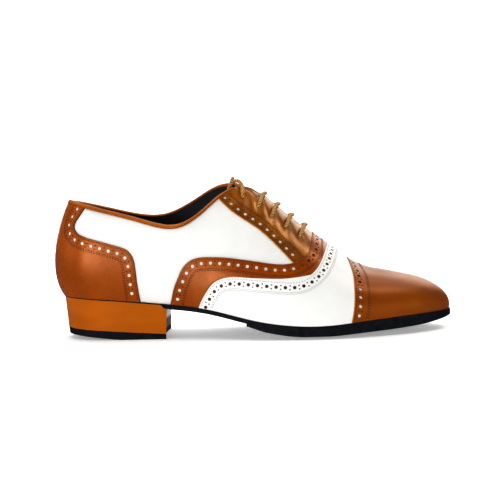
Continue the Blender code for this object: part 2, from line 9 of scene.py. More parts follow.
# %% Load the frame
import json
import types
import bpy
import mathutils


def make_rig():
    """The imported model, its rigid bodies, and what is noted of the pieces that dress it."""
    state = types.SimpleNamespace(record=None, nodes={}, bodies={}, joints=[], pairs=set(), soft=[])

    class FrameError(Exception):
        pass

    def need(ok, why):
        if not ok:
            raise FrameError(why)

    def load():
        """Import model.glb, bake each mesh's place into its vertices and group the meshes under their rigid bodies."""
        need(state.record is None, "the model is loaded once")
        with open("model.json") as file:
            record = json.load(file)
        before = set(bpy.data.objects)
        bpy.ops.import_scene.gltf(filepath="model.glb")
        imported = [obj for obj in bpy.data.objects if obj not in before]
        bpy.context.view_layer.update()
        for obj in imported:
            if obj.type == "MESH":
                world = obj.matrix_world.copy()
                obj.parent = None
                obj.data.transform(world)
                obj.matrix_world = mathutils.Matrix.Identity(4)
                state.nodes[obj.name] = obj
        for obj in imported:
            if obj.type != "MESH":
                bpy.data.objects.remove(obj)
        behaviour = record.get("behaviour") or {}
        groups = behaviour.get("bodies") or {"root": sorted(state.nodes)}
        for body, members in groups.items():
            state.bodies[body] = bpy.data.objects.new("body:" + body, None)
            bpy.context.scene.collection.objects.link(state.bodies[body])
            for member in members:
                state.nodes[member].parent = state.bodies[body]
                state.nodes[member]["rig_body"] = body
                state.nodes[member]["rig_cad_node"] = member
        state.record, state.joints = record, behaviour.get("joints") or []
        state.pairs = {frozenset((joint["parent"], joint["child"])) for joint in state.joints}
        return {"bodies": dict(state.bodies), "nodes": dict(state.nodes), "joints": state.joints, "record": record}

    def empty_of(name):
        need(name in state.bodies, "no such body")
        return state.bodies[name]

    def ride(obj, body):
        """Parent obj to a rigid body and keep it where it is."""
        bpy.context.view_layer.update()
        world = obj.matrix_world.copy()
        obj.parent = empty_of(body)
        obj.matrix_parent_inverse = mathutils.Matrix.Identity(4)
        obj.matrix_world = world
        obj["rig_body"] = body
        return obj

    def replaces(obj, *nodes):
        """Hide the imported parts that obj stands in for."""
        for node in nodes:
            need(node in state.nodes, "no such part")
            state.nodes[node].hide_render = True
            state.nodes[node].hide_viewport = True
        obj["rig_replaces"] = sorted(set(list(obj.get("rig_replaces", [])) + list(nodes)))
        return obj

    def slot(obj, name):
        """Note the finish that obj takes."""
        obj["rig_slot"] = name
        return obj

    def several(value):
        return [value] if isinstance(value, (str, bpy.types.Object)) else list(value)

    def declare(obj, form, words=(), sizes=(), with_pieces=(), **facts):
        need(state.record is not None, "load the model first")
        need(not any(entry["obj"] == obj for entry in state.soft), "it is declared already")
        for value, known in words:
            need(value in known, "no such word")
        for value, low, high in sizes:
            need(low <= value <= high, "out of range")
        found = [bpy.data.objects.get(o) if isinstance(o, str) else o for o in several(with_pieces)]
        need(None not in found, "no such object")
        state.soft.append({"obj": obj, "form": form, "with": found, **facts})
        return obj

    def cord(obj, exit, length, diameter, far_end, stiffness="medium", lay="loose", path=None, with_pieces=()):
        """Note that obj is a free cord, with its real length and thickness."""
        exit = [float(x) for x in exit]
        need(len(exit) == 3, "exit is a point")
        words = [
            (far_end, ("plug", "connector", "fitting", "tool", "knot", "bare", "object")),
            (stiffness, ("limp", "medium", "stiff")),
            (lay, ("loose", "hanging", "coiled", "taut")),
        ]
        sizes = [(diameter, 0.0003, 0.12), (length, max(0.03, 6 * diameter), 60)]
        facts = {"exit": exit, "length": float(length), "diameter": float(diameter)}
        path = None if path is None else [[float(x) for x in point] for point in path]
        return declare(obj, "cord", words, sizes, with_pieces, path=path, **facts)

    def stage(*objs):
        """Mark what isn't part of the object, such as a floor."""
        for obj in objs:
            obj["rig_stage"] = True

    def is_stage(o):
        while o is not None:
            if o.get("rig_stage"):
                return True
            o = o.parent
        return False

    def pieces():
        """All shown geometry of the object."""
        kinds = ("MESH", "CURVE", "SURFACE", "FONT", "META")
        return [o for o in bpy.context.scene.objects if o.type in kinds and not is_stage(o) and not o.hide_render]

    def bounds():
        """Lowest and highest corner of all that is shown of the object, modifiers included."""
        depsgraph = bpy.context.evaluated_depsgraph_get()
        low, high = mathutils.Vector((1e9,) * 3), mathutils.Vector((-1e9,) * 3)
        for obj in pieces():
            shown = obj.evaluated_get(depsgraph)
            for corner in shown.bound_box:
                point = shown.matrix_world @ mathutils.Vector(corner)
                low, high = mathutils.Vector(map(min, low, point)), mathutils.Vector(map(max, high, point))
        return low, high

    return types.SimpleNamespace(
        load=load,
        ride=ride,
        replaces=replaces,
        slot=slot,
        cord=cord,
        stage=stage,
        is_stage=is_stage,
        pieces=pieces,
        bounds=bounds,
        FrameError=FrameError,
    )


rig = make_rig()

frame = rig.load()

import json
import math

import bmesh
import bpy
import numpy as np
from mathutils import Matrix, Vector

cad_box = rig.bounds()
print("nodes in the frame:", len(frame["nodes"]))
print("box of the frame in mm:", [round(1000 * side, 1) for side in cad_box[1] - cad_box[0]])

# %% [markdown]
# ## The camera
#
# A shoemaker measures from the back of the heel, in millimetres, so this lesson does too, and one small
# function turns those sizes into the frame's metres. The picture was taken almost square to the outer
# side, with a long lens and a slight roll. A camera could be aimed with a constraint, but three
# directions written into its matrix also hold the roll, and nothing is left live in the file.

# %% Camera at the photograph's angle
MM = 0.001
HEEL_TO_ORIGIN = 148.5
SIDE_TO_ORIGIN = -0.75
CAMERA_SPOT = (146.5, -850.0, 130.5)
CAMERA_AIM = (146.5, 0.0, 61.7)
CAMERA_LENS = 81.6
CAMERA_ROLL = math.radians(1.4)
FILM_WIDTH = 36.0


def to_frame(points):
    """Millimetres from the back of the heel, as the frame's metres."""
    points = np.array(points, dtype=float).reshape(-1, 3)
    return (points - (HEEL_TO_ORIGIN, SIDE_TO_ORIGIN, 0.0)) * MM


def add_camera(spot, aim, lens, roll):
    """A camera on a spot, looking at another, turned a little about its own axis."""
    spot, aim = [Vector(p) for p in to_frame([spot, aim])]
    ahead = (aim - spot).normalized()
    right = ahead.cross(Vector((0, 0, 1))).normalized()
    up = right.cross(ahead)
    rolled_right = math.cos(roll) * right - math.sin(roll) * up
    rolled_up = math.cos(roll) * up + math.sin(roll) * right
    camera = bpy.data.objects.new("camera", bpy.data.cameras.new("camera"))
    camera.data.lens = lens
    camera.data.sensor_width = FILM_WIDTH
    turn = Matrix((rolled_right, rolled_up, -ahead)).transposed().to_4x4()
    camera.matrix_world = Matrix.Translation(spot) @ turn
    bpy.context.scene.collection.objects.link(camera)
    bpy.context.scene.camera = camera
    return camera


camera = add_camera(CAMERA_SPOT, CAMERA_AIM, CAMERA_LENS, CAMERA_ROLL)
print("camera stands", [round(v, 3) for v in camera.location], "lens", CAMERA_LENS)

# %% [markdown]
# ## A smooth line through a few points
#
# Laces, collars and panel edges are all drawn by a maker as a few marks joined by a bent spline.
# Blender's curve objects could do that, but their handles would have to be set one by one, so a natural
# spline in plain numbers serves for everything: it passes through each mark and bends as little as it can.

# %% Natural spline
def natural_spline(knots, values):
    """A smooth curve through the values, with no bend at its two ends."""
    n = len(knots)
    h = np.diff(knots)
    matrix = np.eye(n)
    right = np.zeros(n)
    for i in range(1, n - 1):
        matrix[i, i - 1:i + 2] = h[i - 1], 2 * (h[i - 1] + h[i]), h[i]
        right[i] = 6 * ((values[i + 1] - values[i]) / h[i] - (values[i] - values[i - 1]) / h[i - 1])
    bend = np.linalg.solve(matrix, right)

    def curve(x):
        x = np.clip(np.asarray(x, dtype=float), knots[0], knots[-1])
        i = np.clip(np.searchsorted(knots, x) - 1, 0, n - 2)
        a = (knots[i + 1] - x) / h[i]
        b = 1 - a
        return (a * values[i] + b * values[i + 1]
                + ((a ** 3 - a) * bend[i] + (b ** 3 - b) * bend[i + 1]) * h[i] ** 2 / 6)
    return curve


def run_along(line):
    """Distance from the start of a line to each of its points."""
    steps = np.linalg.norm(np.diff(line, axis=0), axis=1)
    return np.concatenate([[0.0], np.cumsum(steps)])


def unit(vectors):
    """The same directions with a length of one."""
    return vectors / np.linalg.norm(vectors, axis=-1, keepdims=True)


DRAFT_POINTS = 400


def smooth_path(points, spacing):
    """A rounded path through a few points: a fine draft first, and then even steps along it."""
    line = np.array(points, dtype=float)
    for count in (DRAFT_POINTS, None):
        knots = run_along(line)
        curves = [natural_spline(knots, line[:, i]) for i in range(3)]
        at = np.linspace(0, knots[-1], count or int(knots[-1] / spacing) + 1)
        line = np.stack([curve(at) for curve in curves], axis=1)
    return line


hump = natural_spline(np.array([0.0, 1.0, 2.0]), np.array([0.0, 1.0, 0.0]))
print("a spline through 0, 1 and 0 stands", round(float(hump(0.5)), 3), "high a quarter of the way along")

# %% [markdown]
# ## Meshes from rings and grids
#
# Nearly every piece of a shoe is a sheet or a tube. Both can be given to Blender as rows of points,
# so two short builders are enough: one joins rings into a closed tube, and one closes two grids of
# equal size into a solid with a rim.

# %% Mesh builders
SHARP_ANGLE = math.radians(50)
GRID_WELD = 0.01


def weld_points(work, distance):
    """Join points that fall together, and drop what shrinks to nothing."""
    bmesh.ops.remove_doubles(work, verts=work.verts, dist=distance * MM)
    bmesh.ops.dissolve_degenerate(work, edges=work.edges, dist=0.1 * distance * MM)


def add_mesh(name, points, faces, weld=0.0):
    """A mesh object from millimetre points, smooth shaded, with its faces turned outward."""
    mesh = bpy.data.meshes.new(name)
    mesh.from_pydata(to_frame(points).tolist(), [], faces)
    work = bmesh.new()
    work.from_mesh(mesh)
    if weld:
        weld_points(work, weld)
    bmesh.ops.recalc_face_normals(work, faces=work.faces)
    work.to_mesh(mesh)
    work.free()
    mesh.shade_smooth()
    mesh.set_sharp_from_angle(angle=SHARP_ANGLE)
    item = bpy.data.objects.new(name, mesh)
    bpy.context.scene.collection.objects.link(item)
    return item


def ring_faces(rings, sides, start=0):
    """Quads between rings in a row, with a cap on each end."""
    faces = [tuple(start + k for k in range(sides))]
    faces.append(tuple(start + (rings - 1) * sides + k for k in reversed(range(sides))))
    for i in range(rings - 1):
        for k in range(sides):
            a = start + i * sides + k
            b = start + i * sides + (k + 1) % sides
            faces.append((a, b, b + sides, a + sides))
    return faces


def grid_faces(rows, cols, open_far=False):
    """Quads of a solid between an outer and an inner grid, listed with the column of each quad."""
    under = rows * cols
    faces = []
    column = []
    for i in range(rows - 1):
        for j in range(cols - 1):
            a = i * cols + j
            quad = (a, a + 1, a + cols + 1, a + cols)
            faces += [quad, tuple(under + v for v in reversed(quad))]
            column += [j, j]
    rim = [i * cols for i in range(rows)]
    rim += [(rows - 1) * cols + j for j in range(1, cols)]
    rim += [i * cols + cols - 1 for i in range(rows - 2, -1, -1)]
    rim += list(range(cols - 2, 0, -1))
    for a, b in zip(rim, rim[1:] + rim[:1]):
        if open_far and a % cols == b % cols == cols - 1:
            continue
        faces.append((a, b, under + b, under + a))
        column.append(min(a % cols, b % cols, cols - 2))
    return faces, np.array(column)


def closed_grid(name, outer, inner):
    """A solid between two grids of points of equal size."""
    rows, cols = outer.shape[:2]
    points = np.concatenate([outer.reshape(-1, 3), inner.reshape(-1, 3)])
    return add_mesh(name, points, grid_faces(rows, cols)[0], GRID_WELD)


print("a tube of 3 rings with 6 sides has", len(ring_faces(3, 6)), "faces")

# %% [markdown]
# ## The tied end of the lace
#
# The lace is a round waxed cord of three plies. Its tied end comes out of the outer top eyelet, passes
# over the throat, goes once round inside the collar and ends in a cut tip. A curve with a bevel would
# give a smooth pipe, so the cord is lofted instead: each ring has three lobes, and the lobes turn as they
# go, which makes the twist real geometry. The faces in the grooves get a darker colour of their own:
# painted shade between the plies.
# This piece comes first because a free cord decides the space that the scene needs.

# %% Twisted cord
LACE_RADIUS = 1.4
LACE_PLIES = 3
LACE_TURN = 5.4
LACE_SIDES = 24
LACE_SPACING = 0.3
GROOVE_DEPTH = 0.20
GROOVE_LOBE = 0.45
TIP_SHARE = 0.02
FIRST_SIDE = (0.3, 0.9, 0.2)
TIE_ROUTE = (
    (142.4, -12.9, 101.6),
    (142.1, -14.4, 104.3),
    (142.0, -12.6, 107.0),
    (142.0, -9.8, 109.2),
    (140.8, -5.8, 112.4),
    (138.0, -3.6, 114.0),
    (134.8, -3.3, 113.0),
    (132.4, -3.5, 109.6),
    (130.8, -5.0, 104.4),
    (130.4, -4.6, 100.0),
    (130.2, -0.4, 96.8),
    (130.4, 4.0, 100.0),
    (130.8, 4.0, 104.6),
    (131.9, 1.4, 108.8),
    (133.4, -0.5, 112.4),
    (135.4, 0.2, 117.0),
)


def ply_lobe(angle, at):
    """1 on the crown of a ply, 0 in the groove between two plies."""
    return np.abs(np.cos(LACE_PLIES / 2 * (angle - 2 * np.pi * at / LACE_TURN)))


def twisted_rings(path, radius, round_end=False):
    """Rings of a plied cord along a path."""
    ahead = unit(np.gradient(path, axis=0))
    side = np.cross(ahead[0], FIRST_SIDE)
    angle = np.linspace(0, 2 * np.pi, LACE_SIDES, endpoint=False)
    run = run_along(path)
    rings = []
    for spot, along, at in zip(path, ahead, run):
        side = unit(side - along * (side @ along))
        other = np.cross(along, side)
        reach = radius * (1 - GROOVE_DEPTH + GROOVE_DEPTH * ply_lobe(angle, at))
        if round_end:
            left = np.clip((run[-1] - at) / radius, TIP_SHARE, 1)
            reach = reach * math.sqrt(1 - (1 - left) ** 2)
        rings.append(spot + np.outer(reach * np.cos(angle), side) + np.outer(reach * np.sin(angle), other))
    return np.concatenate(rings)


def lace_cord(name, path, round_end=False):
    """A plied cord along a path; the faces in its grooves take the second finish, painted shade."""
    item = add_mesh(name, twisted_rings(path, LACE_RADIUS, round_end), ring_faces(len(path), LACE_SIDES))
    run = run_along(path)
    angle = (np.arange(LACE_SIDES) + 0.5) * 2 * np.pi / LACE_SIDES
    grooves = ply_lobe(angle[None, :], (run[1:, None] + run[:-1, None]) / 2) < GROOVE_LOBE
    item.data.polygons.foreach_set("material_index", [0, 0] + grooves.ravel().astype(int).tolist())
    return item


tie_path = smooth_path(TIE_ROUTE, LACE_SPACING)
lace_tie = lace_cord("lace_tie_cord", tie_path, round_end=True)
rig.ride(lace_tie, "root")
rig.slot(lace_tie, "lace")
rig.replaces(lace_tie, "lace_tie")
tie_length = float(run_along(tie_path)[-1]) * MM
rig.cord(lace_tie, exit=to_frame(tie_path[0])[0], length=tie_length, diameter=2 * LACE_RADIUS * MM,
        far_end="bare", stiffness="limp", lay="loose", path=to_frame(tie_path))
print("tied end of the lace, mm:", round(tie_length / MM, 1))

# %% [markdown]
# ## The last
#
# A shoe is built on a last, a solid form of the foot, and every panel is a piece of leather pulled
# over it. The frame's solids come from one such form, and the fine panels have to lie on the same one,
# so its few tables of sizes are repeated here. The feather line is the outline where upper and sole
# meet. A cubic curve rises from each of its points to the ridge. A place on the last is then two numbers:
# w, the way round the feather line, and g, the way up from it.

# %% Tables of the last
FEATHER_ROWS = (  # x, outer y, inner y
    (7.4, 0.0, 0.0),
    (10.5, -13.0, 13.0),
    (21.0, -22.5, 22.5),
    (42.0, -27.5, 27.0),
    (80.0, -29.0, 26.5),
    (115.0, -33.5, 26.5),
    (148.0, -41.5, 31.5),
    (180.0, -46.0, 39.5),
    (205.0, -45.5, 44.0),
    (230.0, -40.0, 43.0),
    (252.0, -31.5, 37.5),
    (272.0, -21.0, 29.5),
    (285.5, -10.0, 20.0),
    (292.0, -2.6, 12.6),
    (293.6, 5.0, 5.0),
)
SECTION_ROWS = (  # x, feather height, arch lift, bulge, rise, shoulder
    (7.4, 32.2, 0.0, 18.0, 0.24, 0.80),
    (42.0, 30.0, 0.0, 7.0, 0.32, 0.90),
    (80.0, 26.4, 1.0, 6.0, 0.32, 0.88),
    (115.0, 22.0, 3.0, 4.5, 0.36, 0.64),
    (148.0, 14.2, 2.5, 3.5, 0.40, 0.46),
    (180.0, 9.9, 0.5, 3.0, 0.46, 0.42),
    (205.0, 10.0, 0.0, 3.0, 0.52, 0.46),
    (230.0, 12.3, 0.0, 3.0, 0.58, 0.52),
    (252.0, 13.4, 0.0, 3.0, 0.60, 0.56),
    (272.0, 13.9, 0.0, 3.2, 0.54, 0.58),
    (293.6, 14.0, 0.0, 4.0, 0.37, 0.70),
)
RIDGE_ROWS = (  # x, y, z
    (40.0, 0.0, 128.0),
    (80.0, 0.0, 129.0),
    (110.0, 0.0, 123.5),
    (137.0, 0.5, 111.6),
    (154.0, 1.0, 104.2),
    (171.0, 1.5, 90.6),
    (185.0, 2.0, 79.6),
    (199.0, 2.5, 68.8),
    (207.0, 3.0, 62.6),
    (213.0, 3.2, 57.2),
    (219.0, 3.5, 52.4),
    (230.0, 4.0, 46.6),
    (248.0, 4.5, 42.2),
    (266.0, 5.0, 38.2),
)
COLLAR_ROWS = (  # x, outer height, inner height
    (0.0, 104.8, 104.8),
    (10.0, 103.9, 103.1),
    (25.0, 100.6, 99.2),
    (40.0, 96.6, 95.4),
    (55.0, 92.6, 91.7),
    (70.0, 88.1, 89.3),
    (80.0, 85.2, 89.6),
    (90.0, 83.9, 92.5),
    (98.0, 85.5, 96.5),
    (106.0, 89.9, 101.2),
    (114.0, 96.0, 106.3),
    (122.0, 103.0, 110.7),
    (130.0, 108.2, 113.0),
    (138.0, 112.0, 113.8),
)
THROAT_ROWS = (  # x, outer half gap, inner half gap
    (120.0, 7.0, 1.6),
    (138.0, 6.0, 1.2),
    (155.0, 4.0, 0.8),
    (175.0, 2.0, 0.6),
    (189.0, 0.7, 0.5),
)


def columns_of(rows):
    """A spline over the first column for each of the others."""
    values = np.array(rows, dtype=float)
    return [natural_spline(values[:, 0], values[:, i]) for i in range(1, values.shape[1])]


feather_z, arch_lift, bulge, rise, shoulder = columns_of(SECTION_ROWS)
ridge_y, ridge_z = columns_of(RIDGE_ROWS)
collar_outer, collar_inner = columns_of(COLLAR_ROWS)
throat_outer, throat_inner = columns_of(THROAT_ROWS)
HEEL_POLE = RIDGE_ROWS[0][0]
TOE_POLE = RIDGE_ROWS[-1][0]
COLLAR_END = COLLAR_ROWS[-1][0]
THROAT_START = THROAT_ROWS[0][0]
THROAT_END = THROAT_ROWS[-1][0]
print("tables of the last:", len(FEATHER_ROWS), "outline marks,", len(SECTION_ROWS), "sections")


# %% Outline of the feather line
def closed_spline(points):
    """A smooth closed curve through the points, measured by distance along them."""
    n = len(points)
    h = np.linalg.norm(np.roll(points, -1, axis=0) - points, axis=1)
    knots = np.concatenate([[0.0], np.cumsum(h)])
    matrix = np.zeros((n, n))
    right = np.zeros(points.shape)
    for i in range(n):
        after = (i + 1) % n
        matrix[i, i - 1] = h[i - 1]
        matrix[i, i] = 2 * (h[i - 1] + h[i])
        matrix[i, after] = h[i]
        right[i] = 6 * ((points[after] - points[i]) / h[i] - (points[i] - points[i - 1]) / h[i - 1])
    bend = np.linalg.solve(matrix, right)

    def curve(w):
        w = np.mod(np.asarray(w, dtype=float), knots[-1])
        i = np.clip(np.searchsorted(knots, w, side="right") - 1, 0, n - 1)
        j = (i + 1) % n
        b = ((w - knots[i]) / h[i])[..., None]
        a = 1 - b
        weight = (h[i] ** 2)[..., None] / 6
        return a * points[i] + b * points[j] + ((a ** 3 - a) * bend[i] + (b ** 3 - b) * bend[j]) * weight
    return curve, knots


OUTLINE_SAMPLES = 4001
TINY = 1e-9
feather = np.array(FEATHER_ROWS)
outline, outline_knots = closed_spline(np.concatenate([feather[:, :2], feather[-2:0:-1, [0, 2]]]))
AROUND = outline_knots[-1]
TOE_W = outline_knots[len(FEATHER_ROWS) - 1]
outer_run = np.linspace(0.0, TOE_W, OUTLINE_SAMPLES)
inner_run = np.linspace(AROUND, TOE_W, OUTLINE_SAMPLES)
outer_x = outline(outer_run)[:, 0]
inner_x = outline(inner_run - TINY)[:, 0]


def side_w(x, side):
    """Where the feather line passes x: side is -1 on the outer side and 1 on the inner."""
    outer = np.interp(x, outer_x, outer_run)
    inner = np.interp(x, inner_x, inner_run)
    return np.where(np.asarray(side) < 0, outer, inner)


print("feather line is", round(float(AROUND)), "mm round")


# %% Surface of the last
ARCH_SPREAD = 20.0
NEAR = 0.5
NEAR_UP = 0.002
BALL_X = 190.0
BALL_UP = 0.2


def feather_height(x, y):
    """Height of the feather line, lifted smoothly at the arch on the inner side."""
    inner = np.clip((y - ridge_y(x)) / ARCH_SPREAD, 0, 1)
    return feather_z(x) + arch_lift(x) * inner * inner * (3 - 2 * inner)


def ridge_slope(x):
    """Slope of the ridge along the foot."""
    before = np.clip(x - NEAR, HEEL_POLE, TOE_POLE)
    after = np.clip(x + NEAR, HEEL_POLE, TOE_POLE)
    return (ridge_z(after) - ridge_z(before)) / (after - before)


def last_surface(w, g):
    """Points of the last at the way round w and the way up g."""
    w, g = np.broadcast_arrays(np.asarray(w, dtype=float), np.asarray(g, dtype=float))
    foot = outline(w)
    x = foot[..., 0]
    top_x = np.clip(x, HEEL_POLE, TOE_POLE)
    top = np.stack([top_x, ridge_y(top_x), ridge_z(top_x)], axis=-1)
    base = np.concatenate([foot, feather_height(x, foot[..., 1])[..., None]], axis=-1)
    out = base - top
    out[..., 2] = 0
    half = np.linalg.norm(out, axis=-1, keepdims=True)
    out = out / half
    up = np.zeros(base.shape)
    up[..., 2] = (top[..., 2] - base[..., 2]) * rise(x)
    low = base + out * bulge(x)[..., None] + up
    high = top + out * half * shoulder(x)[..., None]
    high[..., 2] += (high[..., 0] - top[..., 0]) * ridge_slope(top_x)
    g = g[..., None]
    c = 1 - g
    return c ** 3 * base + 3 * c * c * g * low + 3 * c * g * g * high + g ** 3 * top


def last_normal(w, g):
    """Outward direction of the last, from four places close by; straight up at a pole."""
    g = np.asarray(g, dtype=float)
    along = last_surface(w + NEAR, g) - last_surface(w - NEAR, g)
    above = last_surface(w, np.clip(g + NEAR_UP, -1, 1))
    below = last_surface(w, np.clip(g - NEAR_UP, -1, 1 - NEAR_UP))
    normal = np.cross(along, above - below)
    length = np.linalg.norm(normal, axis=-1, keepdims=True)
    normal = normal / np.where(length < TINY, 1, length)
    normal[length[..., 0] < TINY] = (0, 0, 1)
    return normal


def offset_surface(w, g, lift):
    """Points that stand off the last by a lift."""
    return last_surface(w, g) + np.asarray(lift, dtype=float)[..., None] * last_normal(w, g)


ball = last_surface(side_w(BALL_X, np.array([-1, 1])), BALL_UP)
print("width at the ball, mm:", round(float(ball[1, 1] - ball[0, 1]), 1))

# %% [markdown]
# ## Where the leather stops
#
# Quarter, counter and facings all end under the binding of the collar, and the facings stop at the
# throat slot as well. The highest g that leather may reach is worked out once for many stations and
# then read off for any w, which is faster than testing every point of every panel.

# %% Top line of the upper
BINDING_HEIGHT = 3.5
UNDER_BINDING = 1.0
CLIMB_SAMPLES = 1501
LIMIT_STATIONS = 900


def top_limit(w, side, drop, spare):
    """Highest g below the collar, and outside the throat widened by a spare width."""
    g = np.linspace(0, 1, CLIMB_SAMPLES)
    line = last_surface(w, g)
    foot_x = float(outline(w)[0])
    limit = 1.0
    if foot_x < COLLAR_END + 1:
        collar = (collar_outer if side < 0 else collar_inner)(line[:, 0]) - drop
        over = np.nonzero(line[:, 2] > collar)[0]
        limit = g[over[0]] if len(over) else 1.0
    if THROAT_START < foot_x < THROAT_END + 1:
        gap = (throat_outer if side < 0 else throat_inner)(line[:, 0]) + spare
        inside = np.nonzero(np.abs(line[:, 1] - ridge_y(line[:, 0])) < gap)[0]
        limit = min(limit, g[inside[0]])
    return limit


def limit_table(drop):
    """The top limit for any w, on both sides."""
    w = np.linspace(0, AROUND, LIMIT_STATIONS)
    g = np.array([top_limit(at, -1 if at < TOE_W else 1, drop, 0.0) for at in w])
    return lambda at: np.interp(np.mod(at, AROUND), w, g)


panel_limit = limit_table(BINDING_HEIGHT - UNDER_BINDING)
print("collar at the heel back is at g", round(float(panel_limit(0.0)), 3))

# %% [markdown]
# ## Finishes
#
# The tan leather is polished calf: an even brown with cloudy lighter and darker tones, a very fine grain
# and a warm wax gloss. The white leather is the same skin with a white dye. Colour comes from cloud
# noise through a ramp, and grain from small cells and noise in a bump. The wax could be a clear coat, but
# that looks like lacquer, so it is the shader's own reflection with a golden tint. Everything reads object
# coordinates, which here are metres, so a noise scale of 1000 means detail of about one millimetre.

# %% Node helpers
def new_finish(name):
    """A new material and its shader."""
    material = bpy.data.materials.new(name)
    material.use_nodes = True
    return material, material.node_tree.nodes["Principled BSDF"]


def add_node(material, kind, **inputs):
    """A node with some of its sockets set: a number or colour is a value, a socket is a link."""
    node = material.node_tree.nodes.new(kind)
    for name, value in inputs.items():
        socket = node.inputs[name.title()]
        if isinstance(value, bpy.types.NodeSocket):
            material.node_tree.links.new(value, socket)
        else:
            socket.default_value = value
    return node


def spot_on(material, stretch=(1.0, 1.0, 1.0)):
    """Object coordinates, stretched where a finish runs in one direction."""
    place = add_node(material, "ShaderNodeTexCoord").outputs["Object"]
    return add_node(material, "ShaderNodeMapping", vector=place, scale=stretch).outputs["Vector"]


def noise_on(material, place, scale, detail=3.0, roughness=0.5):
    """Cloud noise between 0 and 1."""
    return add_node(material, "ShaderNodeTexNoise", vector=place, scale=scale, detail=detail,
                    roughness=roughness).outputs["Fac"]


def ramp_on(material, value, *stops):
    """A colour ramp from (place, colour) stops."""
    node = add_node(material, "ShaderNodeValToRGB", fac=value)
    band = node.color_ramp
    while len(band.elements) < len(stops):
        band.elements.new(0.5)
    for element, (at, colour) in zip(band.elements, stops):
        element.position = at
        element.color = (*colour, 1.0)
    return node.outputs["Color"]


def spread_on(material, value, low, high):
    """A 0 to 1 value moved to another range."""
    node = add_node(material, "ShaderNodeMapRange", value=value)
    node.inputs["To Min"].default_value = low
    node.inputs["To Max"].default_value = high
    return node.outputs["Result"]


def bump_on(material, height, distance, strength=1.0, below=None):
    """A bump, laid over an earlier one where that is given."""
    node = add_node(material, "ShaderNodeBump", height=height, distance=distance, strength=strength)
    if below is not None:
        material.node_tree.links.new(below, node.inputs["Normal"])
    return node.outputs["Normal"]


def wire(material, **links):
    """Link sockets of the shader."""
    shader = material.node_tree.nodes["Principled BSDF"]
    for name, value in links.items():
        material.node_tree.links.new(value, shader.inputs[name.replace("_", " ").title()])


print("materials that came with the frame:", len(bpy.data.materials))

# %% Leather
CLOUD_SCALE = 26.0
CELL_SCALE = 1300.0
PORE_SCALE = 2600.0
SWELL_SCALE = 90.0
GLOSS_SCALE = 140.0
CELL_DEPTH = 0.00004
PORE_DEPTH = 0.00003
SWELL_DEPTH = 0.00012
WAX_LEVEL = 0.6


def leather(name, dark, middle, light, rough=(0.22, 0.34), tint=(1.0, 0.40, 0.12), grain=0.5,
            streak=(1.0, 1.0, 1.0)):
    """Dyed and waxed leather with clouds of tone, fine cells and pores."""
    material, shader = new_finish(name)
    place = spot_on(material, streak)
    plain = spot_on(material)
    clouds = noise_on(material, place, CLOUD_SCALE, 5.0, 0.55)
    colour = ramp_on(material, clouds, (0.30, dark), (0.50, middle), (0.70, light))
    cells = add_node(material, "ShaderNodeTexVoronoi", vector=plain, scale=CELL_SCALE).outputs["Distance"]
    pores = noise_on(material, plain, PORE_SCALE, 2.0)
    fine = bump_on(material, cells, CELL_DEPTH, grain)
    fine = bump_on(material, pores, PORE_DEPTH, grain, fine)
    soft = bump_on(material, noise_on(material, place, SWELL_SCALE, 3.0), SWELL_DEPTH, 0.6, fine)
    gloss = spread_on(material, noise_on(material, plain, GLOSS_SCALE, 4.0), *rough)
    wire(material, base_color=colour, roughness=gloss, normal=soft)
    shader.inputs["Specular IOR Level"].default_value = WAX_LEVEL
    shader.inputs["Specular Tint"].default_value = (*tint, 1.0)
    return material


tan = leather("tan_calf", (0.215, 0.044, 0.001), (0.275, 0.059, 0.001), (0.345, 0.079, 0.002),
              tint=(1.0, 0.48, 0.24))
facing_tan = leather("golden_calf", (0.125, 0.033, 0.002), (0.205, 0.060, 0.003), (0.335, 0.118, 0.007),
                     rough=(0.16, 0.28), tint=(1.0, 0.56, 0.20), streak=(2.0, 2.0, 2.0))
# a lighter copy of the tan: painted light on the binding's fold, which faces up
binding_tan_painted_light = leather("binding_calf", (0.27, 0.068, 0.004), (0.345, 0.091, 0.006), (0.43, 0.122, 0.010))
cap_tan = leather("burnished_calf", (0.165, 0.036, 0.001), (0.215, 0.050, 0.001), (0.265, 0.066, 0.001),
                  rough=(0.28, 0.4))
heel_tan = leather("heel_calf", (0.37, 0.092, 0.001), (0.41, 0.106, 0.001), (0.455, 0.122, 0.001),
                   rough=(0.3, 0.42), streak=(1.0, 1.0, 3.0))
white = leather("white_calf", (0.725, 0.727, 0.708), (0.768, 0.77, 0.756), (0.802, 0.804, 0.794),
                rough=(0.36, 0.48), tint=(1.0, 1.0, 1.0), grain=0.35)
print("leathers:", [finish.name for finish in (tan, facing_tan, binding_tan_painted_light, cap_tan, heel_tan, white)])

# %% [markdown]
# ## Edges, thread, rubber and lace
#
# Cut edges show raw or burnished leather, the sole has a black edge and a napped face, and the lace is
# waxed. The light raw edge is partly a painted highlight, and the dark burnished edge partly painted shade;
# the walls of punched holes and the lace's grooves are painted shade. At this size all of them are two close
# tones with a fine tooth, so one function makes them. Each could have a network of its own, but nobody
# would see the difference on half a millimetre of thread.

# %% Cut edges, threads, sole and lace
EDGE_SCALE = 700.0
FIBRE_SCALE = 900.0
THREAD_SCALE = 1500.0
RUBBER_SCALE = 260.0


def plain_finish(name, dark, light, scale, rough, bump=0.00003, sheen=0.0, shine=0.4):
    """A finish with two tones, for small things such as cut edges, thread and rubber."""
    material, shader = new_finish(name)
    place = spot_on(material)
    tones = noise_on(material, place, scale, 4.0, 0.6)
    wire(material, base_color=ramp_on(material, tones, (0.35, dark), (0.65, light)),
         roughness=spread_on(material, noise_on(material, place, 0.4 * scale, 3.0), *rough),
         normal=bump_on(material, noise_on(material, place, 3.0 * scale, 2.0), bump, 0.7))
    shader.inputs["Specular IOR Level"].default_value = shine
    shader.inputs["Sheen Weight"].default_value = sheen
    shader.inputs["Sheen Roughness"].default_value = 0.4
    return material
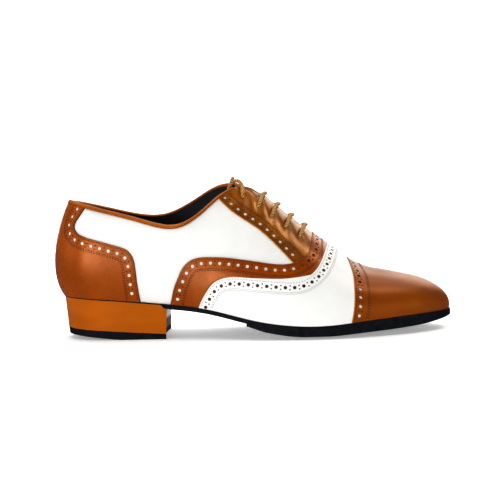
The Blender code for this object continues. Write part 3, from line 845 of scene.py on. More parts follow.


# light raw edge, partly a painted highlight: a golden line along the edges of cap and facings and on the heel's folded
# edge
raw_edge_and_highlight = plain_finish("raw_leather_edge", (0.34, 0.14, 0.025), (0.50, 0.24, 0.05),
                        EDGE_SCALE, (0.5, 0.7), shine=0.2)
# dark burnished edge of band and counter, partly painted shade: it also stands for the thin shadow along their step
dark_edge_and_shade = plain_finish("burnished_edge", (0.07, 0.013, 0.001), (0.12, 0.024, 0.002),
                         EDGE_SCALE, (0.45, 0.6), shine=0.2)
white_edge = plain_finish("white_leather_edge", (0.62, 0.58, 0.52), (0.78, 0.75, 0.70),
                          EDGE_SCALE, (0.5, 0.7))
# dark brown for the walls of punched holes, pricks and eyelets: painted shade inside the holes
hole_wall_shade = plain_finish("punched_wall", (0.06, 0.02, 0.006), (0.11, 0.038, 0.012),
                         FIBRE_SCALE, (0.6, 0.8), shine=0.1)
brown_thread = plain_finish("brown_thread", (0.045, 0.010, 0.002), (0.09, 0.020, 0.004),
                            THREAD_SCALE, (0.5, 0.65), shine=0.2)
pale_thread = plain_finish("pale_thread", (0.34, 0.33, 0.32), (0.50, 0.49, 0.47),
                           THREAD_SCALE, (0.5, 0.65))
edge_black = plain_finish("sole_edge_black", (0.003, 0.004, 0.007), (0.010, 0.012, 0.018),
                          RUBBER_SCALE, (0.55, 0.75), bump=0.00006, shine=0.12)
suede = plain_finish("sole_suede", (0.030, 0.028, 0.028), (0.075, 0.070, 0.068),
                     FIBRE_SCALE, (0.85, 0.98), bump=0.00015, sheen=0.5)
lace_wax = plain_finish("waxed_lace", (0.42, 0.20, 0.045), (0.64, 0.37, 0.11),
                        FIBRE_SCALE, (0.3, 0.45), sheen=0.1)
# dark brown on the faces in the lace's grooves: painted shade between the plies
lace_groove = plain_finish("lace_groove", (0.07, 0.024, 0.004), (0.12, 0.045, 0.008),
                           FIBRE_SCALE, (0.5, 0.65), shine=0.2)
for material in (lace_wax, lace_groove):
    lace_tie.data.materials.append(material)
print("finishes so far:", len(bpy.data.materials))

# %% [markdown]
# ## Lining cloth
#
# The inside of the shoe is navy cotton drill, and it shows only at the collar. A flat dark colour would
# look like a hole there, so two crossed waves lift the threads and a little sheen catches the light.

# %% Woven lining
WEAVE_SCALE = 480.0
WEAVE_DEPTH = 0.00008


def woven_lining(name, dark, light):
    """Navy cotton drill: two crossed waves make the weave."""
    material, shader = new_finish(name)
    place = spot_on(material)
    waves = []
    for direction in ("X", "Z"):
        node = add_node(material, "ShaderNodeTexWave", vector=place, scale=WEAVE_SCALE, distortion=0.6)
        node.bands_direction = direction
        waves.append(node.outputs["Fac"])
    clouds = noise_on(material, place, 60.0, 4.0)
    weave = bump_on(material, waves[0], WEAVE_DEPTH, 0.6)
    weave = bump_on(material, waves[1], WEAVE_DEPTH, 0.6, weave)
    wire(material, base_color=ramp_on(material, clouds, (0.35, dark), (0.65, light)), normal=weave)
    shader.inputs["Roughness"].default_value = 0.75
    shader.inputs["Sheen Weight"].default_value = 0.35
    shader.inputs["Sheen Roughness"].default_value = 0.5
    return material


lining = woven_lining("navy_lining", (0.004, 0.005, 0.011), (0.011, 0.014, 0.026))
print("finishes ready:", len(bpy.data.materials))

# %% [markdown]
# ## Dressing a piece
#
# Every piece gets its finishes, rides on the shoe's one body, and says which slot of the record it takes
# its look from and which plain solids it stands for. One function says it all, so no piece is forgotten.


# %% One call to dress a piece
def dress(item, slot, nodes, *materials):
    """Ride on the shoe's one body, name the record's slot and the solids that this piece stands for."""
    for material in materials:
        item.data.materials.append(material)
    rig.ride(item, "root")
    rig.slot(item, slot)
    if nodes:
        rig.replaces(item, *nodes)
    return item


print("slots of the record:", [row["slot"] for row in frame["record"]["materials"]])

# %% [markdown]
# ## Quarter and lining
#
# The quarter is the white leather that wraps the heel and sides, and the navy lining is sewn inside it.
# Both are sheets on the last, so each is one open grid with a Solidify modifier. The two halves meet on
# the ridge in front of the throat, where welding their last points makes one sheet.

# %% Stations round the shoe
STATION_STEP = 2.4
FAN_STEPS = 16
SHEET_FOOT = -0.01
SHEET_ROWS = 44
SHEET_WELD = 0.02


def paired_stations(start, end, heel_fan=True, toe_fan=True, step=STATION_STEP):
    """Matching w on the outer and inner side, fanned round the heel and the toe."""
    xs = np.linspace(start, end, int((end - start) / step) + 1)
    outer = side_w(xs, -1)
    inner = side_w(xs, 1)
    fan = np.arange(FAN_STEPS) / FAN_STEPS
    if heel_fan:
        outer = np.concatenate([fan * outer[0], outer])
        inner = np.concatenate([AROUND - fan * (AROUND - inner[0]), inner])
    if toe_fan:
        fan = fan + 1 / FAN_STEPS
        outer = np.concatenate([outer, outer[-1] + fan * (TOE_W - outer[-1])])
        inner = np.concatenate([inner, inner[-1] + fan * (TOE_W - inner[-1])])
    return outer, inner


def turn_outward(item):
    """Face an open sheet away from the foot."""
    work = bmesh.new()
    work.from_mesh(item.data)
    side = sum(f.normal.y * f.calc_area() * (1 if f.calc_center_median().y > 0 else -1) for f in work.faces)
    if side < 0:
        bmesh.ops.reverse_faces(work, faces=work.faces)
    work.to_mesh(item.data)
    work.free()


def upper_sheet(name, inner, outer, drop, spare):
    """A layer of the upper between two offsets of the last."""
    rows = SHEET_ROWS
    outer_w, inner_w = paired_stations(HEEL_POLE, TOE_POLE)
    around = np.concatenate([outer_w, inner_w[-2:0:-1]])
    limit = np.array([top_limit(w, -1 if w < TOE_W else 1, drop, spare) for w in around])
    g = SHEET_FOOT + (limit[:, None] - SHEET_FOOT) * np.linspace(0, 1, rows)[None, :]
    points = offset_surface(np.repeat(around[:, None], rows, axis=1), g, np.full(g.shape, inner))
    count = len(around)
    faces = []
    for i in range(count):
        a = i * rows
        b = (i + 1) % count * rows
        faces += [(a + k, b + k, b + k + 1, a + k + 1) for k in range(rows - 1)]
    item = add_mesh(name, points, faces, SHEET_WELD)
    turn_outward(item)
    thick = item.modifiers.new("Leather", "SOLIDIFY")
    thick.thickness = (outer - inner) * MM
    thick.offset = 1.0
    thick.use_quality_normals = True
    return item


print("stations from heel to toe on one side:", len(paired_stations(HEEL_POLE, TOE_POLE)[0]))

# %% Quarter and lining cloth
LINING_INNER = -2.0
LINING_OUTER = -0.9
QUARTER_DROP = BINDING_HEIGHT - 0.5
LINING_DROP = BINDING_HEIGHT - 2.4
THROAT_SPARE = 0.7
quarter = upper_sheet("quarter", LINING_OUTER, 0.0, QUARTER_DROP, THROAT_SPARE)
dress(quarter, "white_leather", ["upper"], white)
inner_lining = upper_sheet("lining_cloth", LINING_INNER, LINING_OUTER, LINING_DROP, THROAT_SPARE)
dress(inner_lining, "lining", [], lining)
print("faces of quarter and lining:", len(quarter.data.polygons), len(inner_lining.data.polygons))

# %% [markdown]
# ## Charts of the last
#
# A panel that crosses the ridge, such as the vamp, needs a map in which its left and right halves join.
# Here the map is x along the foot and u across it: u is -1 on the outer feather line, 0 on the ridge and
# 1 on the inner feather line. The counter wraps the heel instead, so its map lets w run below zero, and the
# toe cap closes in a fan at the tip of the toe, where w and g serve as they are. A pattern edge is marked
# in side view, as it shows in the picture, and a few steps along the slope find each mark on the last.


# %% Three maps
class RidgeMap:
    """x along the foot and u across the ridge."""

    @staticmethod
    def place(x, u):
        """From this map to w and g."""
        return side_w(x, np.where(u <= 0, -1, 1)), 1 - np.abs(u)

    @staticmethod
    def chart(w, g):
        """From w and g to this map."""
        return np.stack([outline(w)[..., 0], np.where(w <= TOE_W, -1, 1) * (1 - g)], axis=-1)


class HeelMap:
    """w round the heel, below zero on the inner side, and g."""

    @staticmethod
    def place(w, g):
        """From this map to w and g."""
        return np.mod(w, AROUND), g

    @staticmethod
    def chart(w, g):
        """From w and g to this map."""
        return np.stack([np.where(w > AROUND / 2, w - AROUND, w), g], axis=-1)


class ToeMap:
    """w and g as they are."""

    @staticmethod
    def place(w, g):
        """From this map to w and g."""
        return w, g


def run_on_last(line, way):
    """Distance along a line of a map, measured on the last."""
    return run_along(last_surface(*way.place(*line.T)))


def line_length(line, way):
    """Full length of a line of a map on the last."""
    return float(run_on_last(line, way)[-1])


ridge_line = np.stack([np.linspace(HEEL_POLE, TOE_POLE, 50), np.zeros(50)], axis=1)
print("ridge from heel to toe, mm:", round(line_length(ridge_line, RidgeMap), 1))

# %% From side view to the last
MARK_LIFT = 1.2
SEARCH_GRID = (321, 98)
SEARCH_TOP = 0.97
SLOPE_STEPS = 6
PROBE = 0.2
PROBE_UP = -0.004
MOST_MOVE = (4, 0.1)
G_RANGE = (-0.03, 0.99)


def find_marks(marks, side):
    """Places on one side of the last that show at side-view marks (x, z)."""
    low, high = (0.0, TOE_W) if side < 0 else (TOE_W, AROUND)
    w_grid, g_grid = np.meshgrid(np.linspace(low, high, SEARCH_GRID[0]),
                                 np.linspace(0, SEARCH_TOP, SEARCH_GRID[1]), indexing="ij")
    cloud = offset_surface(w_grid, g_grid, np.full(w_grid.shape, MARK_LIFT))
    found = []
    for x, z in marks:
        near = np.argmin((cloud[..., 0] - x) ** 2 + (cloud[..., 2] - z) ** 2)
        w = w_grid.flat[near]
        g = g_grid.flat[near]
        for _ in range(SLOPE_STEPS):
            probe_w = np.array([w, w + PROBE, w])
            probe_g = np.array([g, g, g + PROBE_UP])
            here, by_w, by_g = offset_surface(probe_w, probe_g, np.full(3, MARK_LIFT))[:, [0, 2]]
            slope = np.stack([(by_w - here) / PROBE, (by_g - here) / PROBE_UP], axis=1)
            step = np.linalg.lstsq(slope, np.array([x, z]) - here, rcond=None)[0]
            w = w + np.clip(step[0], -MOST_MOVE[0], MOST_MOVE[0])
            g = np.clip(g + np.clip(step[1], -MOST_MOVE[1], MOST_MOVE[1]), *G_RANGE)
        found.append((w, g))
    return np.array(found)


print("the mark (150, 50) lies at w, g:", find_marks(((150.0, 50.0),), -1).round(2).tolist())

# %% [markdown]
# ## Pattern edges
#
# The counter ends in a swept wing, the band runs along the waist and up to the lacing, the vamp sits
# inside the band with the same swing, and the toe cap is cut almost straight across. Each is a handful
# of marks read from the side view. Edges that cross the ridge are joined there to their inner half, and
# all of them end level with the top of the sole, so that the line between leather and sole stays clean.

# %% Marks of the edges
COUNTER_MARKS = (
    (31.0, 106.0), (26.4, 97.5), (21.3, 90.2), (18.2, 84.6), (19.6, 80.2), (24.2, 77.1), (36.3, 73.3),
    (50.1, 69.1), (56.8, 66.3), (60.6, 61.9), (62.4, 55.7), (63.4, 45.2), (65.4, 29.6),
)
BAND_MARKS = (
    (87.8, 26.6), (90.1, 36.3), (94.2, 46.6), (98.8, 54.4), (104.1, 58.2), (110.9, 59.8), (118.1, 59.9),
    (133.0, 58.9), (147.5, 56.8), (162.2, 54.4), (170.0, 53.8), (177.6, 54.6), (184.6, 57.5), (190.2, 63.0),
    (192.4, 70.2),
)
BAND_RIDGE = 193.0
VAMP_MARKS = (
    (108.3, 23.6), (110.5, 28.6), (114.5, 35.3), (118.5, 40.4), (125.0, 44.2), (132.9, 45.5), (146.9, 44.5),
    (159.8, 43.2), (172.6, 42.0), (182.9, 42.5), (190.7, 46.3), (197.8, 54.3), (202.3, 62.6),
)
VAMP_RIDGE = 203.8
CAP_MARKS = ((218.2, 12.0), (219.6, 19.0), (220.6, 27.0), (221.1, 36.0), (221.0, 44.0), (219.9, 49.4))
CAP_RIDGE = 218.0
FACING_MARKS = (
    (116.0, 112.0), (124.5, 102.0), (135.1, 91.8), (148.2, 82.8), (159.1, 74.2), (168.5, 64.7), (177.6, 54.9),
    (184.0, 48.5),
)
print("marks of the counter, band, vamp, cap and facing:", [len(marks) for marks in (
    COUNTER_MARKS, BAND_MARKS, VAMP_MARKS, CAP_MARKS, FACING_MARKS)])

# %% Smooth edges through the marks
PANEL_FOOT = 0.002
KNOT_POINTS = 40
FINE_EDGE = 1201


def evenly(line, way, count):
    """The same line with its places at even distances on the last."""
    run = run_on_last(line, way)
    even = np.linspace(0, run[-1], count)
    return np.stack([np.interp(even, run, line[:, i]) for i in (0, 1)], axis=1)


def spline_places(knots, way, count):
    """Even places along a smooth line through chart knots."""
    run = run_on_last(knots, way)
    curves = [natural_spline(run, knots[:, i]) for i in (0, 1)]
    at = np.linspace(0, run[-1], KNOT_POINTS * len(knots))
    return evenly(np.stack([curve(at) for curve in curves], axis=1), way, count)


def down_to_feather(knots):
    """Carry the line on, past its first knot, to the top of the sole."""
    first, second = knots[0], knots[1]
    goal = math.copysign(1 - PANEL_FOOT, first[1])
    share = (goal - first[1]) / (first[1] - second[1])
    return np.concatenate([[first + (first - second) * share], knots])


def crossing_edge(marks, ridge_x, half_rows):
    """An edge from the outer feather line over the ridge to the inner one, with equal rows on both sides."""
    outer = down_to_feather(RidgeMap.chart(*find_marks(marks, -1).T))
    inner = down_to_feather(RidgeMap.chart(*find_marks(marks, 1).T))
    knots = np.concatenate([outer, [(ridge_x, 0.0)], inner[::-1]])
    fine = spline_places(knots, RidgeMap, FINE_EDGE)
    top = np.argmin(np.abs(fine[:, 1]))
    halves = [evenly(half, RidgeMap, half_rows) for half in (fine[:top + 1], fine[top:][::-1])]
    return np.concatenate([halves[0], halves[1][-2::-1]])


HALF_ROWS = 76
band_edge = crossing_edge(BAND_MARKS, BAND_RIDGE, HALF_ROWS)
vamp_edge = crossing_edge(VAMP_MARKS, VAMP_RIDGE, HALF_ROWS)
cap_edge = crossing_edge(CAP_MARKS, CAP_RIDGE, HALF_ROWS)
for label, edge in (("band", band_edge), ("vamp", vamp_edge), ("cap", cap_edge)):
    print(label, "edge, mm:", round(line_length(edge, RidgeMap), 1))

# %% [markdown]
# ## Lines beside an edge
#
# Holes and stitches follow each cut edge at a set distance, as they do when a maker runs a wheel along it.
# Moving a line sideways on the map would squeeze it where the map is stretched, so every point of the
# edge walks over the last itself, square to the edge, in a few small steps.

# %% Walk over the last
STRIDE = 0.25
STRIDE_UP = 0.002
WALK_STEPS = 6


def slide(w, g, move):
    """Move places over the last by vectors, following its curve."""
    for _ in range(WALK_STEPS):
        by_w = (last_surface(w + STRIDE, g) - last_surface(w - STRIDE, g)) / (2 * STRIDE)
        by_g = (last_surface(w, g + STRIDE_UP) - last_surface(w, g - STRIDE_UP)) / (2 * STRIDE_UP)
        part = move / WALK_STEPS
        ww, wg, gg = [(a * b).sum(axis=-1) for a, b in ((by_w, by_w), (by_w, by_g), (by_g, by_g))]
        mw, mg = [(a * part).sum(axis=-1) for a in (by_w, by_g)]
        spread = ww * gg - wg * wg
        w = w + (gg * mw - wg * mg) / spread
        g = g + (ww * mg - wg * mw) / spread
    return w, g


def beside(edge, way, distance, toward):
    """The line at a distance from an edge, on the side where toward lies."""
    w, g = way.place(*edge.T)
    spots = last_surface(w, g)
    inward = np.cross(last_normal(w, g), unit(np.gradient(spots, axis=0)))
    if (inward * (last_surface(*way.place(*toward.T)) - spots)).sum() < 0:
        inward = -inward
    return way.chart(*slide(w, g, inward * distance))


def along_line(line, way, at):
    """Places (w, g) at distances along a line."""
    run = run_on_last(line, way)
    return way.place(*[np.interp(at, run, line[:, i]) for i in (0, 1)])


def off_line(line, way, at, distance):
    """Places beside a line: distances along it, and one distance square to it."""
    before, after = [last_surface(*along_line(line, way, at + d)) for d in (-NEAR, NEAR)]
    w, g = along_line(line, way, at)
    return slide(w, g, np.cross(last_normal(w, g), unit(after - before)) * distance)


beside_vamp = beside(vamp_edge, RidgeMap, 5.0, cap_edge)
print("a line 5 mm inside the vamp's edge, mm:", round(line_length(beside_vamp, RidgeMap), 1))

# %% [markdown]
# ## Panels
#
# A panel is stretched between two of these edges. Straight lines on the map join the edges row by row,
# and columns are packed close together along a cut edge so that it can be rounded, as skived and burnished
# leather is. The outer face lies at the thickness of the leather, the inner face just inside the layer
# below, so that no light shows under a panel. Where a panel runs on beneath its neighbour it thins out.

# %% Columns and edges of a panel
EDGE_ROUND = 0.40
EDGE_COLUMNS = (0.0, 0.04, 0.12, 0.24, 0.40, 0.9)
TUCK_COLUMNS = (0.5, 1.5, 4.0, 8.5)
PANEL_WELD = 0.012


def rounded_edge(distance, top):
    """Height of the leather near a cut edge: a quarter round and then flat."""
    d = np.clip(distance, 0, EDGE_ROUND)
    return top - EDGE_ROUND + np.sqrt(EDGE_ROUND ** 2 - (EDGE_ROUND - d) ** 2)


def panel_columns(length, far, spacing):
    """Distances of the columns from the near edge, for a row of each length."""
    near_part = np.repeat([EDGE_COLUMNS], len(length), axis=0)
    middle = max(4, int(np.max(length) / spacing))
    stop = length - (EDGE_COLUMNS[-1] if far == "cut" else 0.0)
    share = np.linspace(0, 1, middle + 1)[None, 1:]
    body = EDGE_COLUMNS[-1] + (stop[:, None] - EDGE_COLUMNS[-1]) * share
    parts = [near_part, body]
    if far == "cut":
        parts.append(length[:, None] - np.array([EDGE_COLUMNS[-2::-1]]))
    if far == "tucked":
        parts.append(length[:, None] + np.array([TUCK_COLUMNS]))
    return np.concatenate(parts, axis=1)


def clean(item):
    """Weld the points that a closed fan brought together."""
    work = bmesh.new()
    work.from_mesh(item.data)
    weld_points(work, PANEL_WELD)
    bmesh.ops.recalc_face_normals(work, faces=work.faces)
    work.to_mesh(item.data)
    work.free()


print("columns of a row 20 mm wide:", panel_columns(np.array([20.0]), "cut", 1.7).shape[1])

# %% Panel builder
FADE_ROWS = 14
RULED_POINTS = 30
TUCK_THIN = 0.7
THIN_OVER = 1.5


def panel(name, near, far_line, way, top, far="cut", inner=-0.25, spacing=1.7, tuck_line=None,
          first_row=None, shape=None):
    """A leather panel between two edges on the map. far says how the second edge ends."""
    share = np.linspace(0, 1, RULED_POINTS)[None, :, None]
    ruled = near[:, None] * (1 - share) + far_line[:, None] * share
    spots = last_surface(*way.place(ruled[..., 0], ruled[..., 1]))
    steps = np.linalg.norm(np.diff(spots, axis=1), axis=2)
    length = steps.sum(axis=1)
    distance = panel_columns(length, far, spacing)
    grown = np.concatenate([np.zeros((len(near), 1)), np.cumsum(steps, axis=1)], axis=1)
    at = np.stack([np.interp(d, run, share[0, :, 0]) for d, run in zip(distance, grown)])
    past = np.maximum(distance - length[:, None], 0.0)
    places = near[:, None] * (1 - at[..., None]) + far_line[:, None] * at[..., None]
    if tuck_line is not None:
        places += (tuck_line - far_line)[:, None] * (past / TUCK_COLUMNS[-1])[..., None]
    if first_row is not None:
        fade = np.clip(1 - np.arange(len(near)) / FADE_ROWS, 0, 1)[:, None] ** 2
        bend = first_row(share[0]) - ruled[0]
        for i in (0, 1):
            places[..., i] += fade * np.interp(at, share[0, :, 0], bend[:, i])
    w, g = way.place(places[..., 0], places[..., 1])
    height = rounded_edge(distance, top)
    if far == "cut":
        height = np.minimum(height, rounded_edge(length[:, None] - distance, top))
    height = height - TUCK_THIN * np.clip(past / THIN_OVER, 0, 1)
    if shape is not None:
        height = height + shape(w, g)
    outer = offset_surface(w, g, height)
    under = offset_surface(w, g, np.full(g.shape, inner))
    faces, column = grid_faces(*outer.shape[:2], open_far=far == "joined")
    item = add_mesh(name, np.concatenate([outer.reshape(-1, 3), under.reshape(-1, 3)]), faces)
    last_column = outer.shape[1] - 2
    edge_count = len(EDGE_COLUMNS) - 3
    cut = (column <= edge_count) | ((far == "cut") & (column >= last_column - edge_count))
    item.data.polygons.foreach_set("material_index", cut.astype(np.int32))
    clean(item)
    return item


print("rows of a panel that crosses the ridge:", len(band_edge))

# %% Band, vamp and toe cap
BAND_TOP = 1.3
VAMP_TOP = 1.7
CAP_TOP = 2.2
CAP_AHEAD = (12.0, 0.0)
cap_toward = cap_edge + CAP_AHEAD
band = panel("side_band_leather", band_edge, vamp_edge, RidgeMap, BAND_TOP, far="tucked",
             tuck_line=beside(vamp_edge, RidgeMap, TUCK_COLUMNS[-1], cap_edge))
vamp = panel("vamp_leather", vamp_edge, cap_edge, RidgeMap, VAMP_TOP, far="tucked", spacing=2.0,
             tuck_line=beside(cap_edge, RidgeMap, TUCK_COLUMNS[-1], cap_toward))
cap_w, cap_g = RidgeMap.place(*cap_edge.T)
cap_near = np.stack([cap_w, cap_g], axis=1)
toe_g = (cap_g + cap_g[::-1]) / 2
cap_far = np.stack([np.full(len(cap_w), TOE_W), toe_g], axis=1)
toe_cap = panel("toe_cap_leather", cap_near, cap_far, ToeMap, CAP_TOP, far="joined", spacing=1.5)
print("faces:", [(p.name, len(p.data.polygons)) for p in (band, vamp, toe_cap)])

# %% [markdown]
# ## Counter
#
# The counter is the tan panel that wraps the back of the heel, with a strap on each side up to the collar.
# Its two edges could be joined at the back with a seam, but it shows none, so it is one panel from the
# outer edge to the inner one. Its top row is bent along the collar and the bend fades out below.

# %% Heel counter
COUNTER_TOP = 1.2
COUNTER_ROWS = 90


def below_collar(edge, way):
    """Cut a pattern edge where it passes the collar, and space it evenly again."""
    w, g = way.place(*edge.T)
    over = g - panel_limit(w)
    first = np.nonzero(over <= 0)[0][0]
    share = over[first - 1] / (over[first - 1] - over[first])
    start = edge[first - 1] * (1 - share) + edge[first] * share
    return evenly(np.concatenate([[start], edge[first:]]), way, len(edge))


counter_edges = []
for side in (-1, 1):
    knots = HeelMap.chart(*find_marks(COUNTER_MARKS, side).T)
    low = knots[-1] + (knots[-1] - knots[-2]) * (PANEL_FOOT - knots[-1, 1]) / (knots[-1, 1] - knots[-2, 1])
    edge = spline_places(np.concatenate([knots, [low]]), HeelMap, COUNTER_ROWS)
    counter_edges.append(below_collar(edge, HeelMap))


def heel_collar(share):
    """The counter's top row: round the back of the heel, along the collar."""
    w = counter_edges[0][0, 0] * (1 - share) + counter_edges[1][0, 0] * share
    return np.concatenate([w, panel_limit(w)], axis=1)


counter = panel("heel_counter_leather", *counter_edges, HeelMap, COUNTER_TOP, first_row=heel_collar)
print("counter edge, mm:", round(line_length(counter_edges[0], HeelMap), 1))

# %% [markdown]
# ## Facings
#
# The two facings carry the eyelets. They reach from their own cut edge to the throat and run on under
# the band. The lace pulls at each pair of eyelets, so the leather is drawn in a little there and swells
# between them: soft troughs and ridges, placed at the stations of the lace.

# %% Puckers at the eyelets
EYELETS = (  # x, way up the section
    (142.4, 0.78),
    (153.2, 0.73),
    (162.6, 0.71),
    (173.0, 0.71),
    (183.3, 0.70),
)
PUCKER_DEPTH = 0.6
PUCKER_WIDTH = 2.8
PUCKER_SWELL = 0.45
PUCKER_START = 0.54
PUCKER_RISE = 0.22
PUCKER_LAST_X = 193.0
PUCKER_FADE = 6.0


def pucker(w, g):
    """Troughs that run from each eyelet towards the throat."""
    x = outline(w)[..., 0]
    trough = sum(np.exp(-((x - at) / PUCKER_WIDTH) ** 2) for at, _ in EYELETS)
    fade = np.clip((g - PUCKER_START) / PUCKER_RISE, 0, 1) * np.clip((PUCKER_LAST_X - x) / PUCKER_FADE, 0, 1)
    return PUCKER_DEPTH * (PUCKER_SWELL - trough) * fade * fade * (3 - 2 * fade)


at_eyelets = pucker(side_w(np.array(EYELETS)[:, 0], -1), np.array(EYELETS)[:, 1])
print("leather at the eyelets, mm:", at_eyelets.round(2).tolist())

# %% Two facings
FACING_TOP = 0.85
FACING_ROWS = 64
FACING_UNDER = -1.0
THROAT_CORNER = 137.0
FACING_END = 200.0
SLOT_POINTS = 160
FACING_AHEAD = (8.0, 0.3)


def top_line(x, side):
    """Where the facing stops: the collar first, then the throat, and the ridge in front of it."""
    return np.where(x > THROAT_END, 0.0, side * (1 - panel_limit(side_w(x, side))))


def facing(name, side):
    """One facing and its cut edge."""
    edge = spline_places(RidgeMap.chart(*find_marks(FACING_MARKS, side).T), RidgeMap, FACING_ROWS)
    edge = below_collar(edge, RidgeMap)
    x = np.linspace(THROAT_CORNER, FACING_END, SLOT_POINTS)
    slot_line = evenly(np.stack([x, top_line(x, side)], axis=1), RidgeMap, FACING_ROWS)

    def collar_row(share):
        """The first row runs along the collar instead of straight over the map."""
        x = edge[0, 0] * (1 - share) + THROAT_CORNER * share
        return np.concatenate([x, top_line(x, side)], axis=1)

    leather_panel = panel(name, edge, slot_line, RidgeMap, FACING_TOP, inner=FACING_UNDER,
                          first_row=collar_row, shape=pucker)
    return leather_panel, edge


def facing_toward(edge, side):
    """A line on the throat side of a facing's edge."""
    return edge + (FACING_AHEAD[0], -FACING_AHEAD[1] * side)


facing_outer, facing_edge_outer = facing("facing_outer_leather", -1)
facing_inner, facing_edge_inner = facing("facing_inner_leather", 1)
print("facing faces:", len(facing_outer.data.polygons), len(facing_inner.data.polygons))

# %% [markdown]
# ## Finishes of the panels
#
# Each panel has four finishes: its face, its cut edge, the wall of a punched hole and the hole's floor. The
# wall is dark brown, painted shade inside the hole. The floor takes the colour of what lies below the panel
# on the real shoe, which is mostly white; under the vamp it is dark brown, painted shade over the tan band.
# A separate sheet below could show it, but then every panel would need a second layer.

# %% Dress the panels
PANELS = (
    (band, "tan_leather", "side_band", tan, dark_edge_and_shade, white),
    # the vamp's hole floor is this dark brown: painted shade over the tan band below
    (vamp, "white_leather", "vamp", white, white_edge, dark_edge_and_shade),
    (toe_cap, "tan_leather", "toe_cap", cap_tan, raw_edge_and_highlight, white),
    (counter, "tan_leather", "heel_counter", tan, dark_edge_and_shade, white),
    (facing_outer, "tan_leather", "facing_lateral", facing_tan, raw_edge_and_highlight, white),
    (facing_inner, "tan_leather", "facing_medial", facing_tan, raw_edge_and_highlight, white),
)
for item, slot, node, face, edge, floor in PANELS:
    dress(item, slot, [node], face, edge, hole_wall_shade, floor)
print("panels dressed:", [item.name for item, *_ in PANELS])

# %% [markdown]
# ## Punched holes
#
# The decoration is a row of punched holes with pairs of pin pricks between them. On tan leather a white
# skin below shows through, and on the white vamp the floor is dark brown, painted shade over the tan band.
# Where the band lies over a facing, and over the top of the toe cap, the holes stay dark: their floors, like
# the floors of the pricks, take the dark wall colour, painted shade, and the walls are painted shade too.
# Holes could be painted, but they are cut for real with one Boolean for each panel: all its punches are
# joined into one cutter, and the quick Manifold solver handles them together. The cutter's faces carry the
# finish of the hole's wall and floor into the leather.

# %% Punches
HOLE_RADIUS = 1.25
HOLE_SIDES = 18
PRICK_RADIUS = 0.55
PRICK_SIDES = 8
PRICK_SPREAD = 1.35
HOLE_DEPTH = 0.6
PUNCH_TOP = 6.0
PUNCH_TURN = (0.2, 0.1, 1.0)
SHADED_WALL_SLOT = 2
FLOOR_SLOT = 3


def circles(across, other, sides):
    """A ring of directions for each pair of directions that are square to one another."""
    angle = np.linspace(0, 2 * np.pi, sides, endpoint=False)[None, :, None]
    return np.cos(angle) * across[:, None] + np.sin(angle) * other[:, None]


def punch_points(w, g, radius, sides, low, high):
    """Little prisms that stand on the last: points and faces."""
    spot = last_surface(w, g)
    normal = last_normal(w, g)
    across = unit(np.cross(normal, PUNCH_TURN))
    ring = circles(across, np.cross(normal, across), sides) * radius
    ends = [spot[:, None] + ring + normal[:, None] * lift for lift in (low, high)]
    points = np.concatenate(ends, axis=1).reshape(-1, 3)
    faces = []
    for k in range(len(spot)):
        faces += ring_faces(2, sides, 2 * sides * k)
    return points, faces


def join_parts(parts):
    """One list of points and faces from several."""
    points = []
    faces = []
    for more, more_faces in parts:
        start = sum(len(p) for p in points)
        points.append(more)
        faces += [tuple(start + v for v in face) for face in more_faces]
    return np.concatenate(points), faces


def cut_holes(item, punches):
    """Subtract the punches, with dark walls and each punch's own floor, and keep that as the panel's mesh."""
    cutter = add_mesh(item.name + "_punches", *join_parts([punch[:2] for punch in punches]))
    for material in item.data.materials:
        cutter.data.materials.append(material)
    slots = [floor if len(face) > 4 else SHADED_WALL_SLOT for _, faces, floor in punches for face in faces]
    cutter.data.polygons.foreach_set("material_index", slots)
    cut = item.modifiers.new("Punched holes", "BOOLEAN")
    cut.operation = "DIFFERENCE"
    cut.solver = "MANIFOLD"
    cut.object = cutter
    view = bpy.context.evaluated_depsgraph_get()
    view.update()
    mesh = bpy.data.meshes.new_from_object(item.evaluated_get(view))
    item.modifiers.remove(cut)
    item.data = mesh
    mesh.shade_smooth()
    mesh.set_sharp_from_angle(angle=SHARP_ANGLE)
    bpy.data.objects.remove(cutter, do_unlink=True)


def hole_row(edge, way, toward, top, inset, first, last, count, dark=(0, 0)):
    """Punches of a decorated edge: big holes at even steps along it, and a pair of pricks between."""
    middle = beside(edge, way, inset, toward)
    at = np.linspace(first, last, count)
    number = np.arange(count)
    over_tan = (number >= dark[0]) & (number < dark[1])
    punches = []
    # holes over tan, and all pricks below, take the dark wall colour as their floor: painted shade
    for chosen, floor in ((~over_tan, FLOOR_SLOT), (over_tan, SHADED_WALL_SLOT)):
        if chosen.any():
            places = along_line(middle, way, at[chosen])
            holes = punch_points(*places, HOLE_RADIUS, HOLE_SIDES, top - HOLE_DEPTH, PUNCH_TOP)
            punches.append((*holes, floor))
    for spread in (-PRICK_SPREAD, PRICK_SPREAD):
        places = off_line(middle, way, (at[1:] + at[:-1]) / 2, spread)
        pricks = punch_points(*places, PRICK_RADIUS, PRICK_SIDES, top - HOLE_DEPTH, PUNCH_TOP)
        punches.append((*pricks, SHADED_WALL_SLOT))
    return punches


print("faces of a hole's punch and of a prick's:", HOLE_SIDES + 2, PRICK_SIDES + 2)

